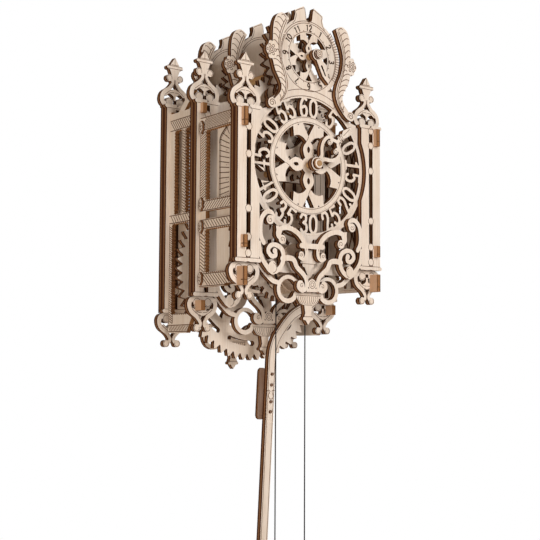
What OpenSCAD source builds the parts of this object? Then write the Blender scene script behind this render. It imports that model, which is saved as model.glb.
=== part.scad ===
/* [Sheet] */
// Thickness of the plywood of panels, wheels and hands
ply = 4; // [3:0.5:5]
// Thickness of the plywood of the side plates
side_t = 3; // [2:0.5:4]
// Narrowest slit that the laser leaves open
slit_w = 0.6; // [0.2:0.1:0.8]

/* [Case] */
// Clear depth between the front and the middle panel
front_bay = 37.3; // [37.3:0.1:42]
// Clear depth between the middle and the back panel
rear_bay = 28.2; // [28.2:0.1:34]
// Distance from the centre line to the middle of a column
column_x = 50.4; // [50:0.1:54]
// Width of a column
column_w = 16.6; // [15:0.1:18]
// Width of the open slot down a column
slot_w = 3.3; // [2.5:0.1:4]
// Height of the wall hole above the front column cap
hang_h = 54; // [52:0.5:56]
// Diameter of the wall hole
hang_d = 6; // [4:0.5:7]

/* [Panels] */
// Height of the middle panel's column cap above the front one
mid_cap = 10.75; // [8:0.25:14]
// Height of the back panel's column cap above the front one
back_cap = 14; // [12:0.25:17]
// Height of the front column, from cap to ring
front_col = 95.5; // [94:0.5:98]
// Drop of the middle panel's ring below the front one
mid_drop = 19.1; // [17:0.1:21]
// Drop of the back panel's ring below the front one
back_drop = 28.8; // [26:0.1:31]

/* [Dials] */
// Height of the centre arbor below the front cap
centre_drop = 30.7; // [30:0.1:31.5]
// Height of the hour arbor above the front cap
hour_rise = 40; // [39:0.1:41]
// Outer radius of the minute ring
minute_r = 45.3; // [44.5:0.1:45.5]
// Outer radius of the inner ring that carries the cross
inner_r = 30.4; // [29.5:0.1:31]
// Outer radius of the small hour dial
hour_r = 24.5; // [23:0.1:25]

/* [Train] */
// Teeth of the great wheel
great_n = 60; // [60:60]
// Module of the great wheel
great_m = 1.925; // [1.9:0.005:1.95]
// Teeth of each pinion of the going train
pinion_n = 8; // [8:8]
// Teeth of the centre, third and fourth wheels
train_n = 36; // [36:36]
// Module of the centre, third and fourth wheels
train_m = 1.65; // [1.6:0.01:1.68]
// Teeth of the escape wheel
escape_n = 30; // [30:30]
// Tip radius of the escape wheel
escape_r = 20; // [19.5:0.1:20.2]
// Teeth of the motion wheel that the centre pinion drives
motion_n = 32; // [32:32]
// Module of the motion wheel
motion_m = 1.7; // [1.68:0.01:1.72]
// Teeth of the hour wheel
hour_n = 30; // [30:30]
// Teeth of the pinion that drives the hour wheel
hour_pinion_n = 10; // [10:10]
// Module of the hour wheel
hour_m = 2; // [1.98:0.01:2.02]
// Play between meshing teeth
backlash = 0.35; // [0.3:0.05:0.5]
// Radius of the arbors
arbor_r = 2; // [1.5:0.1:2.2]
// Running clearance of an arbor in its hole
run_gap = 0.08; // [0.04:0.01:0.1]
// Gap around a tab or a fitted piece in its sheet
fit_gap = 0.06; // [0.05:0.01:0.1]

/* [Pendulum] */
// Height of the pendulum arbor above the front cap
pivot_rise = 22.4; // [22:0.1:23]
// Distance from the pendulum arbor down to the bob's centre
pendulum_l = 430; // [400:1:480]
// Width of the pendulum rod
rod_w = 7; // [6:0.1:8]
// Lean of the rod from plumb, in degrees
rod_lean = 3.06; // [2:0.01:4]
// Radius of the bob
bob_r = 22; // [18:0.5:24]

/* [Weights] */
// Radius of the drum, to the middle of the cord
drum_r = 12; // [11.5:0.1:12.5]
// Diameter of the cord
cord_d = 0.8; // [0.6:0.1:1.2]
// Radius of the driving weight
weight_r = 13.5; // [11:0.5:14]
// Height of the driving weight
weight_h = 56; // [40:1:70]
// Radius of the counterweight
counter_r = 7; // [5:0.5:8]
// Height of the counterweight
counter_h = 34; // [25:1:45]

/* [Hidden] */
light = "burlywood";
pale = "wheat";
dark = "peru";

// Depths, measured forwards from the wall as negative Y
back_base_y = -ply;
back_trim_y = -2 * ply;
mid_base_y = back_trim_y - rear_bay - ply;
mid_trim_y = mid_base_y - ply;
front_base_y = mid_trim_y - front_bay - ply;
front_trim_y = front_base_y - ply;

// Train planes in the rear bay, from the middle panel backwards
plane_gap = (rear_bay - 5 * ply) / 6;
function rear_plane(i) = mid_base_y + ply + plane_gap + (i - 1) * (ply + plane_gap);
// Planes in the front bay, from the middle panel forwards
rod_y = mid_trim_y - 1.8 - ply;
ratchet_y = rod_y - 2 - ply;
escape_y = ratchet_y - 0.5 - ply;
bridge_y = escape_y - 1.5 - ply;
motion_y = bridge_y - 2 - ply;
hour_y = motion_y - 2 - ply;
hand_y = front_trim_y - 0.6 - ply;

// Arbor centres in X and Z
centre_p = [0, -centre_drop];
hour_p = [0, hour_rise];
great_p = centre_p - [0, great_m * (great_n + pinion_n) / 2];
train_d = train_m * (train_n + pinion_n) / 2;
third_p = centre_p + train_d * [cos(120), sin(120)];
fourth_p = third_p + train_d * [cos(60), sin(60)];
escape_p = fourth_p + train_d * [cos(-60), sin(-60)];
pivot_p = [0, pivot_rise];
motion_d = motion_m * (motion_n + pinion_n) / 2;
hour_d = hour_m * (hour_n + hour_pinion_n) / 2;
dial_span = hour_rise + centre_drop;
motion_up = (pow(motion_d, 2) - pow(hour_d, 2) + pow(dial_span, 2)) / (2 * dial_span);
motion_p = centre_p + [-sqrt(pow(motion_d, 2) - pow(motion_up, 2)), motion_up];
pillar_ps = [[-14, 30], [5, -20], [17.5, 31]];
bore_r = arbor_r + run_gap;
column_in = column_x - column_w / 2;
side_in = column_x + 5.6 - side_t;
tab_out = 3;
front_tabs = [[-12.5, -1], [-87, -79.5], [-110, -98.5]];
rear_tabs = [[3, 9.5], [-124, -117.5]];
cord_y = -67.5;
weight_top = -286;
counter_top = -286;
ring_fn = 90;

// Shapes laid flat in XZ stand at depth y, t thick; z is measured from the front cap
module plate(y, t = ply) translate([0, y + t, -hang_h]) rotate([90, 0, 0]) linear_extrude(t) children();
module solid_at(p, y) translate([p[0], y, p[1] - hang_h]) rotate([-90, 0, 0]) children();
module bore(p, r, y, t = ply) solid_at(p, y - 1) cylinder(h = t + 2, r = r, $fn = 48);
module side(x, t = side_t) translate([x, 0, -hang_h]) rotate([90, 0, 90]) linear_extrude(t) children();
module both() { children(); mirror([1, 0]) children(); }
// One clean sheet, with slits narrower than slit_w closed
module cut_sheet() offset(delta = 0.01 - slit_w / 2) offset(delta = slit_w / 2) children();
module opening() offset(delta = fit_gap) children();

function arc(c, r, a0, a1, n = 12) = [for (i = [0:n]) let (a = a0 + (a1 - a0) * i / n) c + r * [cos(a),
    sin(a)]];
function spiral(c, r0, r1, a0, a1, n = 16) = [for (i = [0:n])
    let (a = a0 + (a1 - a0) * i / n, r = r0 + (r1 - r0) * i / n) c + r * [cos(a), sin(a)]];
// Smooth curve through route points
function bend(p, n = 4) = let (m = len(p) - 1) concat([for (i = [0:m - 1]) for (j = [0:n - 1])
    let (t = j / n, a = p[max(i - 1, 0)], b = p[i], c = p[i + 1], d = p[min(i + 2, m)])
    0.5 * (2 * b + (c - a) * t + (2 * a - 5 * b + 4 * c - d) * t * t + (3 * b - a - 3 * c + d) * t * t * t)],
    [p[m]]);
function unit(v) = v / max(norm(v), 0.0001);
function left_of(v) = [-v[1], v[0]];
// A band along points, w0 wide at its start and w1 at its end, with round ends
module band(pts, w0, w1, round = true) {
    m = len(pts) - 1;
    edge = [for (i = [0:m]) left_of(unit(pts[min(i + 1, m)] - pts[max(i - 1,
        0)])) * (w0 + (w1 - w0) * i / m) / 2];
    for (i = [0:m - 1])
        polygon([pts[i] + edge[i], pts[i + 1] + edge[i + 1], pts[i + 1] - edge[i + 1], pts[i] - edge[i]]);
    if (round) {
        translate(pts[0]) circle(d = w0, $fn = 10);
        translate(pts[m]) circle(d = w1, $fn = 10);
    }
}
module dot(p, r) translate(p) circle(r, $fn = r > 8 ? ring_fn : 14);
module ring2d(p, r1, r0, n = ring_fn) translate(p) difference() { circle(r1, $fn = n); circle(r0,
    $fn = n); }
module bar2d(p, w, h) translate(p - [w / 2, h / 2]) square([w, h]);
// A bar with round ends
module rail(p, w, h) { bar2d(p, w - h, h); dot(p - [w / 2 - h / 2, 0], h / 2); dot(p + [w / 2 - h / 2,
    0], h / 2); }

// Involute gear outline with n teeth of module m, one tooth centred on angle a
function inv(a) = tan(a) - a * PI / 180;
press = 30;
function gear_pts(n, m, a, head = 0.9, root = 1.15) = let (
    rp = n * m / 2, rb = rp * cos(press), ra = rp + head * m, rf = rp - root * m,
    half = 90 / n - backlash / 4 / rp * 180 / PI + inv(press) * 180 / PI,
    flank = [for (k = [0:2]) let (r = max(rb, rf) + (ra - max(rb, rf)) * k / 2,
        b = acos(min(1, rb / r))) [r, half - inv(b) * 180 / PI]])
    [for (i = [0:n - 1]) let (c = a + i * 360 / n)
        for (q = concat([[rf, -flank[0][1]]], [for (f = flank) [f[0], -f[1]]],
            [for (k = [2:-1:0]) flank[k]], [[rf, flank[0][1]]]))
        q[0] * [cos(c + q[1]), sin(c + q[1])]];
module gear2d(p, n, m, a) translate(p) polygon(gear_pts(n, m, a));
function heading(a, b) = atan2(b[1] - a[1], b[0] - a[0]);
// Angle for a pinion at p, with n teeth, whose gap faces q
function gap_angle(p, q, n) = heading(p, q) + 180 / n;
// Spoked wheel body: rim, hub and curved arms
module crossings(p, r_rim, r_hub, arms, w, turn = 0) translate(p) difference() {
    circle(r_rim, $fn = 60);
    circle(r_hub, $fn = 30);
    for (k = [0:arms - 1]) rotate(turn + k * 360 / arms)
        band(bend([[r_hub - 2, 0], [(r_hub + r_rim) * 0.4, 3], [(r_hub + r_rim) * 0.65, -2],
            [r_rim + 2, 0]]), w, w * 0.8, false);
}
module rim_slots(p, r, w, count, span, turn = 0) translate(p) for (k = [0:count - 1])
    rotate(turn + k * 360 / count) band(arc([0, 0], r, -span / 2, span / 2, 8), w, w);

// Decoration of the panels
// Heart of two scrolls with a crescent in it: a finial, or a foot when turned over
module heart2d() {
    both() {
        band(bend([[3.8, 20.6], [1.6, 18.6], [1.5, 16.6], [4.2, 13.2], [8.6, 9.8], [10, 5.6],
            [8.6, 2.6], [5.6, 2.4]]), 2.2, 3.4);
        dot([4.2, 4], 3);
        dot([4.2, 20.5], 2.4);
    }
    polygon(concat(bend([[-8.4, 8.4], [-4, 11.8], [0, 12.8], [4, 11.8], [8.4, 8.4]], 3),
        bend([[6.6, 8], [3.6, 9.5], [0.8, 7.8]], 3), bend([[-0.8, 7.8], [-3.6, 9.5], [-6.6, 8]], 3)));
    bar2d([0, 6.6], 1.6, 3);
}
module finial2d(cap) both() translate([column_x, cap]) {
    heart2d();
    polygon([[0, 34.8], [3.3, 29.8], [4.3, 27], [1.4, 20], [0.8, 17.6], [-0.8, 17.6], [-1.4, 20],
        [-4.3, 27], [-3.3, 29.8]]);
    rail([0, 27.9], 12.6, 2.6);
    bar2d([0, 1], 18, 2.4);
}
module foot2d(ring) both() translate([column_x, ring]) {
    mirror([0, 1]) heart2d();
    bar2d([0, -1.4], 12, 2.8);
}
module column_bars(top, bottom) both() translate([column_x, 0]) both()
    translate([slot_w / 2, bottom]) square([(column_w - slot_w) / 2, top - bottom]);
module column_beads(zs) both() for (z = zs) dot([column_x, z], 2.5);
module caps(top, bottom) both() translate([column_x, 0]) both() {
    rail([5.1, top + 0.2], 9.4, 2.4);
    rail([5.1, bottom + 0.9], 9.4, 2.4);
}
// Rows of mortises for the tabs of the side plates
module mortises(rows) opening() both() for (z = rows) translate([side_in, z[0]]) square([side_t,
    z[1] - z[0]]);

// Scrollwork that hangs below the dial: the layer behind
module lower_base2d(z) translate([0, z]) {
    both() {
        band(bend([[column_in + 1, 5], [39, -0.6], [33.6, -6.4], [28.6, -10.4], [24.4, -11.4]]), 3.6, 2.8);
        band(spiral([16.4, -15.5], 8.2, 6.9, 150, -162, 22), 2.2, 3.2);
        dot([10.6, -18.8], 1.7);
        band(bend([[column_in + 1, 34.5], [39.8, 29], [36.4, 32], [33.5, 31]]), 3, 2.4);
        // Side of the small vase
        polygon(bend([[0, 10], [3.2, 10], [2.6, 6.4], [4, 3.4], [0, 3]], 3));
    }
    polygon([[-3, 9], [3, 9], [2.4, 14.6], [5.4, 20], [-5.4, 20], [-2.4, 14.6]]);
    rail([0, 2.4], 13, 2.2);
    rail([0, 0.4], 9.6, 2.2);
    polygon([[-3.4, -0.4], [3.4, -0.4], [0.8, -5.6], [-0.8, -5.6]]);
    // Basket on its pedestal
    bar2d([0, -14.4], 4.6, 7);
    rail([0, -18.2], 21, 2.2);
    polygon([[-10, -18.6], [10, -18.6], [8.6, -21.6], [6.6, -24], [3.2, -25], [2.4, -30], [3.4, -33],
        [-3.4, -33], [-2.4, -30], [-3.2, -25], [-6.6, -24], [-8.6, -21.6]]);
    rail([0, -33.4], 8.4, 2);
    polygon([[-2.6, -34], [2.6, -34], [0, -37.4]]);
}
// The layer in front
module lower_trim2d(z) translate([0, z]) {
    both() {
        // Corner scroll beside the column
        band(bend([[32.6, 27.2], [31.4, 29.4], [33.4, 31.6], [37, 31.2], [40.2, 27.4], [41.3, 21],
            [40.6, 15.6], [38.6, 12.2]]), 3, 3);
        dot([33.7, 26.8], 2.9);
        // Pair of C scrolls under the dial, each with a spur
        band(bend([[25, 15.6], [27.6, 17.8], [26.4, 21.4], [20, 22.9], [13.4, 20.9], [8.4, 17],
            [5.4, 12]]), 3, 3.4);
        dot([24.2, 15.2], 2.9);
        polygon([[23.4, 22.6], [29.2, 23.6], [28.7, 18.6], [26.4, 15.4]]);
        // Side spiral, bead and the strand up to the column
        band(bend([[29.6, 6.9], [29.6, 4.8], [32.6, 4.3], [35.2, 7.4], [33.3, 10.7], [29, 11.3],
            [24.9, 9.3], [23.3, 5.4],
            [23.9, 0.6], [26.2, -3], [29.4, -5]]), 2.8, 3.2);
        dot([30, 7.6], 1.8);
        translate([31.7, -2.9]) scale([0.78, 1]) circle(4.3, $fn = 24);
        band(bend([[column_in, 12], [41.4, 6.4], [39, 1.2], [34, -4.4]]), 2.6, 3.2);
        // Strap from the spiral, past the rosette, to its eye
        band(bend([[24, 3.2], [19.4, 3.9], [15, 2.9], [12.5, -1.4], [7.2, -5.8], [4.8, -9.4],
            [4.8, -14], [8, -16.1],
            [11.2, -14.2], [10.8, -11.2], [8.8, -10.8]]), 3.6, 2.2);
        dot([8.5, -12.9], 2.2);
        // Hook beside the vase
        band(bend([[5, 11], [4.6, 7.6], [5.6, 4.9], [8, 3.7], [10.4, 4.9]]), 2.8, 2);
        dot([8.9, 6.6], 2.1);
    }
    rail([0, 12.4], 20.8, 3.4);
    dot([0, -12], 3.5);
    bar2d([0, -15.6], 9, 2.2);
}

// Crown: dial disc, two prongs and the banner, all in one sheet
banner_r = minute_r - 1.6;
module crown_base2d(hole) difference() {
    union() {
        dot(hour_p, hour_r + 1.2);
        both() polygon([[0, 60], [2.6, 64], [3, 68.6], [4.2, 73.1], [11.7, 69.2], [11.4, 66], [12.4, 62.6],
            [14.6, 59.6], [12, 52], [0, 52]]);
        both() polygon([[0, 20], [19, 20], [25, 14], [30, 5.6], [24, 6.6], [16, 13.2], [0, 16]]);
        difference() {
            dot(centre_p, banner_r + 6.4);
            dot(centre_p, banner_r);
            translate([-60, -100]) square([120, 106.4]);
        }
    }
    dot([0, 66.4], 2.9);
    bar2d([0, 70.4], 5.8, 8);
    if (hole > 0) dot(hour_p, hole);
}
module wing2d() {
    polygon(concat(bend([[20, 61.4], [24.5, 63.8], [29, 61.8], [31.6, 56.5], [32.3, 50], [32.5, 44],
        [34.4, 38.5], [32, 31],
        [30.3, 26], [27.5, 21.5], [25.4, 17], [26.4, 12.5], [29.5, 9], [33, 5.2]], 3),
        bend([[31, 2.2], [28, 4], [22.5, 10], [19.6, 17], [20.8, 24.5], [24.6, 33], [26, 42],
            [24.6, 49], [21.4, 57], [19.6, 61]], 3)));
    dot([32.6, 5], 3.2);
    dot([33.6, 38.5], 4);
    for (k = [-1, 0, 1]) dot([35.6 - abs(k) * 1.6, 38.5 + k * 4.1], 1.7);
}
module wings_sheet(y) color(pale) plate(y) cut_sheet() both() wing2d();

module panel_outline(cap, drop) {
    column_bars(cap, -front_col - drop);
    both() for (z = [cap - 2.2, -front_col - drop + 2]) bar2d([column_x, z], column_w, 4.4);
    finial2d(cap);
    foot2d(-front_col - drop);
    lower_base2d(-front_col - drop);
}
module front_panel() color(light) difference() {
    plate(front_base_y) cut_sheet() difference() {
        union() {
            panel_outline(0, 0);
            ring2d(centre_p, minute_r + 2.4, minute_r - 1);
            both() polygon([[30, 3], [column_in + 1, 0], [column_in + 1, -14], [38, -8], [31, -1]]);
        }
        opening() dot(centre_p, minute_r);
        opening() crown_base2d(0);
        mortises(front_tabs);
    }
}
module column_trim(y, top, bottom, beads, rows, bite) color(pale) plate(y) cut_sheet() {
    difference() {
        union() {
            column_bars(top, bottom);
            both() bar2d([column_x, top - 1], column_w, 2);
            both() bar2d([column_x, bottom + 1], column_w, 2);
            column_beads(beads);
            caps(top, bottom);
        }
        if (bite > 0) dot(centre_p, bite);
        mortises(rows);
    }
}
module front_column_trim() column_trim(front_trim_y, 0, -front_col,
    [-2.4, -12.4, -29.4, -63, -80.4, -90.4], front_tabs, minute_r + 0.9);
module scrollwork(y, top, bottom) color(pale) plate(y) cut_sheet() difference() {
    lower_trim2d(bottom);
    opening() {
        both() translate([column_in, bottom]) square([column_w, top - bottom]);
        caps(top, bottom);
    }
}
module front_scrollwork() scrollwork(front_trim_y, 0, -front_col);
module front_wings() wings_sheet(front_trim_y);

// Numerals drawn with strokes in a cell 1 wide and 1 high, scaled by the caller
function glyph(c) =
    c == "0" ? [bend([[0.5, 1], [0.08, 0.82], [0, 0.5], [0.08, 0.18], [0.5, 0], [0.92, 0.18], [1, 0.5],
        [0.92, 0.82], [0.5, 1]], 3)] :
    c == "1" ? [[[0.1, 0.78], [0.5, 1], [0.5, 0]], [[0.05, 0], [0.95, 0]]] :
    c == "2" ? [bend([[0.05, 0.72], [0.25, 0.97], [0.8, 0.93], [0.85, 0.62], [0.4, 0.3],
        [0.05, 0.02]], 3), [[0, 0], [1, 0], [1, 0.15]]] :
    c == "3" ? [bend([[0.08, 0.82], [0.35, 1], [0.85, 0.9], [0.8, 0.62], [0.45, 0.54], [0.92, 0.42],
        [0.9, 0.1], [0.4, 0], [0.1, 0.16]], 3)] :
    c == "4" ? [[[0.75, 0], [0.75, 1], [0, 0.34], [1, 0.34]]] :
    c == "5" ? [concat([[0.95, 1], [0.18, 1], [0.12, 0.56]], bend([[0.12, 0.56], [0.55, 0.66],
        [0.95, 0.44], [0.88, 0.1], [0.4, 0], [0.12, 0.16]], 3))] :
    c == "6" ? [bend([[0.85, 0.92], [0.5, 1], [0.12, 0.75], [0.04, 0.35], [0.25, 0.03], [0.75, 0.02],
        [0.95, 0.3], [0.7, 0.55], [0.15, 0.45]], 3)] :
    [];
module numeral(s, w, h, t) for (i = [0:len(s) - 1])
    translate([(i - (len(s) - 1) / 2) * (w + t + 0.7) - w / 2, 0])
        for (g = glyph(s[i])) band([for (q = g) [q[0] * w, q[1] * h]], t, t, true);
minutes = ["60", "5", "10", "15", "20", "25", "30", "35", "40", "45", "50", "55"];
module minute_ring() color(pale) plate(front_base_y) cut_sheet() {
    ring2d(centre_p, minute_r, minute_r - 1.6);
    ring2d(centre_p, inner_r + 1.3, inner_r + fit_gap);
    translate(centre_p) for (i = [0:11]) rotate(-30 * i) {
        upside = i >= 4 && i <= 8;
        translate([0, upside ? minute_r - 1.8 : inner_r + 1.3]) rotate(upside ? 180 : 0)
            numeral(minutes[i], 5.3, minute_r - inner_r - 3.1, 1.9);
    }
}
// Four-armed cross with split leaves, r is the inside radius of its ring
module fleur_cross(r) scale(r / 27.4) {
    for (k = [0:3]) rotate(90 * k) {
        difference() {
            both() polygon(concat([[0, 3]], bend([[1.6, 3], [3.7, 6.5], [4.5, 10], [3.5, 13],
                [1.4, 16]], 3), [[0, 16]]));
            translate([0, 10.2]) scale([0.55, 1]) circle(2.1, $fn = 12);
        }
        both() polygon(concat([[0, 15.2], [0, 18.8], [5, 27.5], [7.3, 27], [8.5, 25], [9.8, 26.2],
            [12.8, 25.2], [12.1, 18]],
            bend([[12.1, 17.8], [8.5, 18.9], [4.5, 17.8], [2, 15.6]], 3)));
    }
    circle(5.5, $fn = 30);
}
module dial_cross() color(pale) difference() {
    plate(front_base_y) cut_sheet() translate(centre_p) {
        ring2d([0, 0], inner_r, inner_r - 3);
        fleur_cross(inner_r - 3);
    }
    bore(centre_p, bore_r, front_base_y);
}
module hour_dial() color(pale) difference() {
    plate(front_base_y) cut_sheet() difference() {
        union() {
            crown_base2d(hour_r * 0.64);
            translate(hour_p) fleur_cross(hour_r * 0.64);
        }
        opening() dot(centre_p, minute_r);
    }
    bore(hour_p, bore_r, front_base_y);
}

// Pivot plate of the middle and back panels: rings joined by straps
module pivot_web(ps, links, r = 6.5) {
    for (p = ps) dot(p, r);
    for (l = links) band([l[0], l[1]], 6, 6, false);
}
mid_ps = [centre_p, hour_p, great_p, third_p, fourth_p, escape_p, motion_p];
module mid_panel() color(light) difference() {
    plate(mid_base_y) cut_sheet() difference() {
        union() {
            panel_outline(mid_cap, mid_drop);
            crown_base2d(0);
            pivot_web(concat(mid_ps, pillar_ps, [pivot_p]), [[hour_p, great_p - [0, 20]],
                [third_p, escape_p], [third_p, [-column_in - 2, 2]], [escape_p, [column_in + 2, 2]],
                [centre_p, [-column_in - 2, centre_p[1]]], [centre_p, [column_in + 2, centre_p[1]]],
                [great_p, [-column_in - 2, great_p[1]]], [great_p, [column_in + 2, great_p[1]]],
                [third_p, fourth_p], [escape_p, fourth_p], [[-24, 14], [-column_in - 2, 8]],
                [[24, 14], [column_in + 2, 8]]]);
        }
        mortises(rear_tabs);
        for (a = [45:90:315]) translate(great_p) rotate(a) dot([11, 0], 1.4);
    }
    for (p = mid_ps) bore(p, bore_r, mid_base_y);
    bore(pivot_p, bore_r, mid_base_y);
}
module mid_column_trim() column_trim(mid_trim_y, mid_cap, -front_col - mid_drop,
    [mid_cap - 8, -8, -57, -71, -104], rear_tabs, 0);
module mid_scrollwork() scrollwork(mid_trim_y, mid_cap, -front_col - mid_drop);
module mid_wings() wings_sheet(mid_trim_y);
back_ps = [centre_p, great_p, third_p, fourth_p, escape_p];
module back_panel() color(light) difference() {
    plate(back_base_y) cut_sheet() difference() {
        union() {
            panel_outline(back_cap, back_drop);
            crown_base2d(0);
            pivot_web(back_ps, [[hour_p, great_p - [0, 32]], [third_p, escape_p],
                [third_p, [-column_in - 2, 2]], [escape_p, [column_in + 2, 2]],
                [centre_p, [-column_in - 2, centre_p[1]]], [centre_p, [column_in + 2, centre_p[1]]],
                [great_p, [-column_in - 2, great_p[1]]], [great_p, [column_in + 2, great_p[1]]],
                [third_p, fourth_p], [escape_p, fourth_p], [[-24, 14], [-column_in - 2, 10]],
                [[24, 14], [column_in + 2, 10]]]);
        }
        mortises(rear_tabs);
    }
    for (p = back_ps) bore(p, bore_r, back_base_y);
    bore([0, hang_h], hang_d / 2, back_base_y);
}
module back_column_trim() color(pale) plate(back_trim_y) cut_sheet() {
    difference() {
        union() {
            column_bars(back_cap, -front_col - back_drop);
            both() bar2d([column_x, back_cap - 1], column_w, 2);
            both() bar2d([column_x, 1 - front_col - back_drop], column_w, 2);
            column_beads([back_cap - 8, -57, -110]);
            caps(back_cap, -front_col - back_drop);
        }
        mortises(rear_tabs);
    }
}
module back_wings() wings_sheet(back_trim_y);

// Straight edge cut with the small teeth of a rope profile
rope_pitch = 2.2;
function rope_edge(p, q) = let (n = max(1, round(norm(q - p) / rope_pitch)),
    s = left_of(unit(q - p)) * 0.45)
    [for (i = [0:n - 1]) each [p + (q - p) * (i + 0.25) / n - s, p + (q - p) * (i + 0.75) / n + s]];
module rope_window(y0, z0, y1, z1) polygon(concat(rope_edge([y0, z0], [y1, z0]), rope_edge([y1, z0],
    [y1, z1]),
    rope_edge([y1, z1], [y0, z1]), rope_edge([y0, z1], [y0, z0])));
front_side_y0 = front_base_y + ply;
module front_side(x) color(light) side(x) cut_sheet() {
    difference() {
        translate([front_side_y0, -109.5]) square([front_bay, 109]);
        rope_window(front_side_y0 + 3.4, -54.5, mid_trim_y - 7, -9.4);
        rope_window(front_side_y0 + 3.4, -100.6, mid_trim_y - 7, -72.8);
        translate([front_side_y0 + 3.4, -66.4]) square([front_bay - 10.4, 5]);
        translate([front_side_y0 - 1, -120]) square([10, 12]);
    }
    for (z = front_tabs) translate([front_trim_y - tab_out, z[0]]) square([2 * ply + tab_out + 1,
        z[1] - z[0]]);
}
module left_front_side() front_side(-side_in - side_t);
module right_front_side() front_side(side_in);
rear_side_y0 = mid_base_y + ply;
module rear_side(x) color(light) side(x) cut_sheet() {
    difference() {
        polygon([[rear_side_y0, 8], [back_trim_y, 8], [back_trim_y, -138], [rear_side_y0 + 6, -138],
            [rear_side_y0, -128]]);
        rope_window(rear_side_y0 + 3, -60, rear_side_y0 + 8.8, -4);
        rope_window(rear_side_y0 + 14, -60, back_trim_y - 6, -4);
        rope_window(rear_side_y0 + 4.5, -126, back_trim_y - 3.6, -66);
    }
    for (z = rear_tabs) {
        translate([mid_trim_y - tab_out, z[0]]) square([2 * ply + tab_out + 1, z[1] - z[0]]);
        translate([back_trim_y - 1, z[0]]) square([2 * ply + 1, z[1] - z[0]]);
    }
}
module left_rear_side() rear_side(-side_in - side_t);
module right_rear_side() rear_side(side_in);
// Upright board with ribs like feathers, just inside the side plate
board_t = 3;
module fluted_board(x, face) color(light) difference() {
    side(x, board_t) difference() {
        polygon([[front_side_y0, -108], [front_side_y0 + 22, -108], [front_side_y0 + 22, -6],
            [front_side_y0 + 12, -6], [front_side_y0 + 4, -8], [front_side_y0, -14]]);
        for (z = [-98, -88, -78]) translate([front_side_y0 + 2, z]) rotate(20) square([8, 5]);
    }
    for (k = [0:9]) translate([face, front_side_y0 + 6, -hang_h - 12 - k * 4.5]) rotate([12 - k * 1.3, 0,
        0])
        cube([0.8, 13, 0.5], center = true);
}
module left_fluted_board() fluted_board(-side_in, -side_in);
module right_fluted_board() fluted_board(side_in - board_t, side_in);
// Slanted braces that tie the crown of the middle panel to the back one
module crown_braces() color(dark) for (x = [-side_in - side_t, side_in]) side(x)
    polygon([[rear_side_y0, 18], [rear_side_y0, 24.5], [rear_side_y0 + 18, 8], [rear_side_y0 + 11, 8]]);
module drum_bridge() color(dark) difference() {
    plate(front_side_y0) cut_sheet() {
        band([[-side_in + board_t, great_p[1]], [side_in - board_t, great_p[1]]], 8, 8, false);
        dot(great_p, 8);
    }
    bore(great_p, bore_r, front_side_y0);
}
bridge_ps = [pivot_p, escape_p, motion_p];
module escapement_bridge() color(light) difference() {
    plate(bridge_y) cut_sheet() {
        for (p = bridge_ps) dot(p, 5.5);
        for (p = pillar_ps) dot(p, 4.5);
        for (l = [[pivot_p, pillar_ps[0]], [pivot_p, pillar_ps[2]], [pivot_p, escape_p],
            [motion_p, pivot_p], [motion_p, pillar_ps[1]], [escape_p, pillar_ps[1]]]) band(l, 5, 5, false);
    }
    for (p = bridge_ps) bore(p, bore_r, bridge_y);
}
module bridge_pillars() color(dark) for (p = pillar_ps) solid_at(p, bridge_y + ply)
    cylinder(h = mid_base_y - bridge_y - ply, r = 2.5, $fn = 32);
peg_r = 1;

// Going train
module wheel(p, y, n, m, a, hub, arms, r_rim, turn = 0) color(light) difference() {
    plate(y) cut_sheet() difference() {
        gear2d(p, n, m, a);
        crossings(p, r_rim, hub, arms, 5, turn);
    }
    bore(p, arbor_r, y);
}
module pinion(p, y, n, m, a, t = ply) color(dark) difference() {
    plate(y, t) gear2d(p, n, m, a);
    bore(p, arbor_r, y, t);
}
module arbor(p, y0, y1 = -0.5) color("saddlebrown") solid_at(p, y0) cylinder(h = y1 - y0, r = arbor_r,
    $fn = 48);
module great_wheel() color(light) difference() {
    plate(rear_plane(3)) cut_sheet() difference() {
        gear2d(great_p, great_n, great_m, heading(great_p, centre_p));
        crossings(great_p, 40, 13, 6, 8);
        rim_slots(great_p, 48, 3.6, 10, 23, 8);
        for (k = [0:5]) translate(great_p) rotate(30 + k * 60) dot([8.6, 0], 1.4);
    }
    bore(great_p, arbor_r, rear_plane(3));
}
module great_arbor() arbor(great_p, front_side_y0 + 0.5);
drum_y0 = cord_y - 7;
drum_y1 = cord_y + 6.9;
module drum() color(light) difference() {
    solid_at(great_p, drum_y0) rotate_extrude($fn = 72) polygon([[0, 0], [drum_r + 4, 0], [drum_r + 4, 2],
        [drum_r - 0.5, 3], [drum_r - 0.5, drum_y1 - drum_y0 - 3], [drum_r + 4, drum_y1 - drum_y0 - 2],
        [drum_r + 4, drum_y1 - drum_y0], [0, drum_y1 - drum_y0]]);
    bore(great_p, arbor_r, drum_y0, drum_y1 - drum_y0);
}
ratchet_n = 24;
module ratchet_wheel() color(light) difference() {
    plate(ratchet_y) cut_sheet() difference() {
        translate(great_p) polygon([for (i = [0:ratchet_n - 1]) let (c = i * 360 / ratchet_n)
            for (q = [[18, 0], [21, 1.4], [21, 5], [18, 8.4]]) q[0] * [cos(c + q[1]), sin(c + q[1])]]);
        rim_slots(great_p, 13, 2.6, 6, 34);
    }
    bore(great_p, arbor_r, ratchet_y);
}
click_p = great_p + 26 * [cos(200), sin(200)];
module click_plate() color(light) difference() {
    plate(escape_y) cut_sheet() {
        dot(great_p, 9);
        band([great_p, click_p], 7, 6);
    }
    bore(great_p, arbor_r, escape_y);
    bore(click_p, arbor_r * 0.6 + run_gap, escape_y);
}
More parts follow.
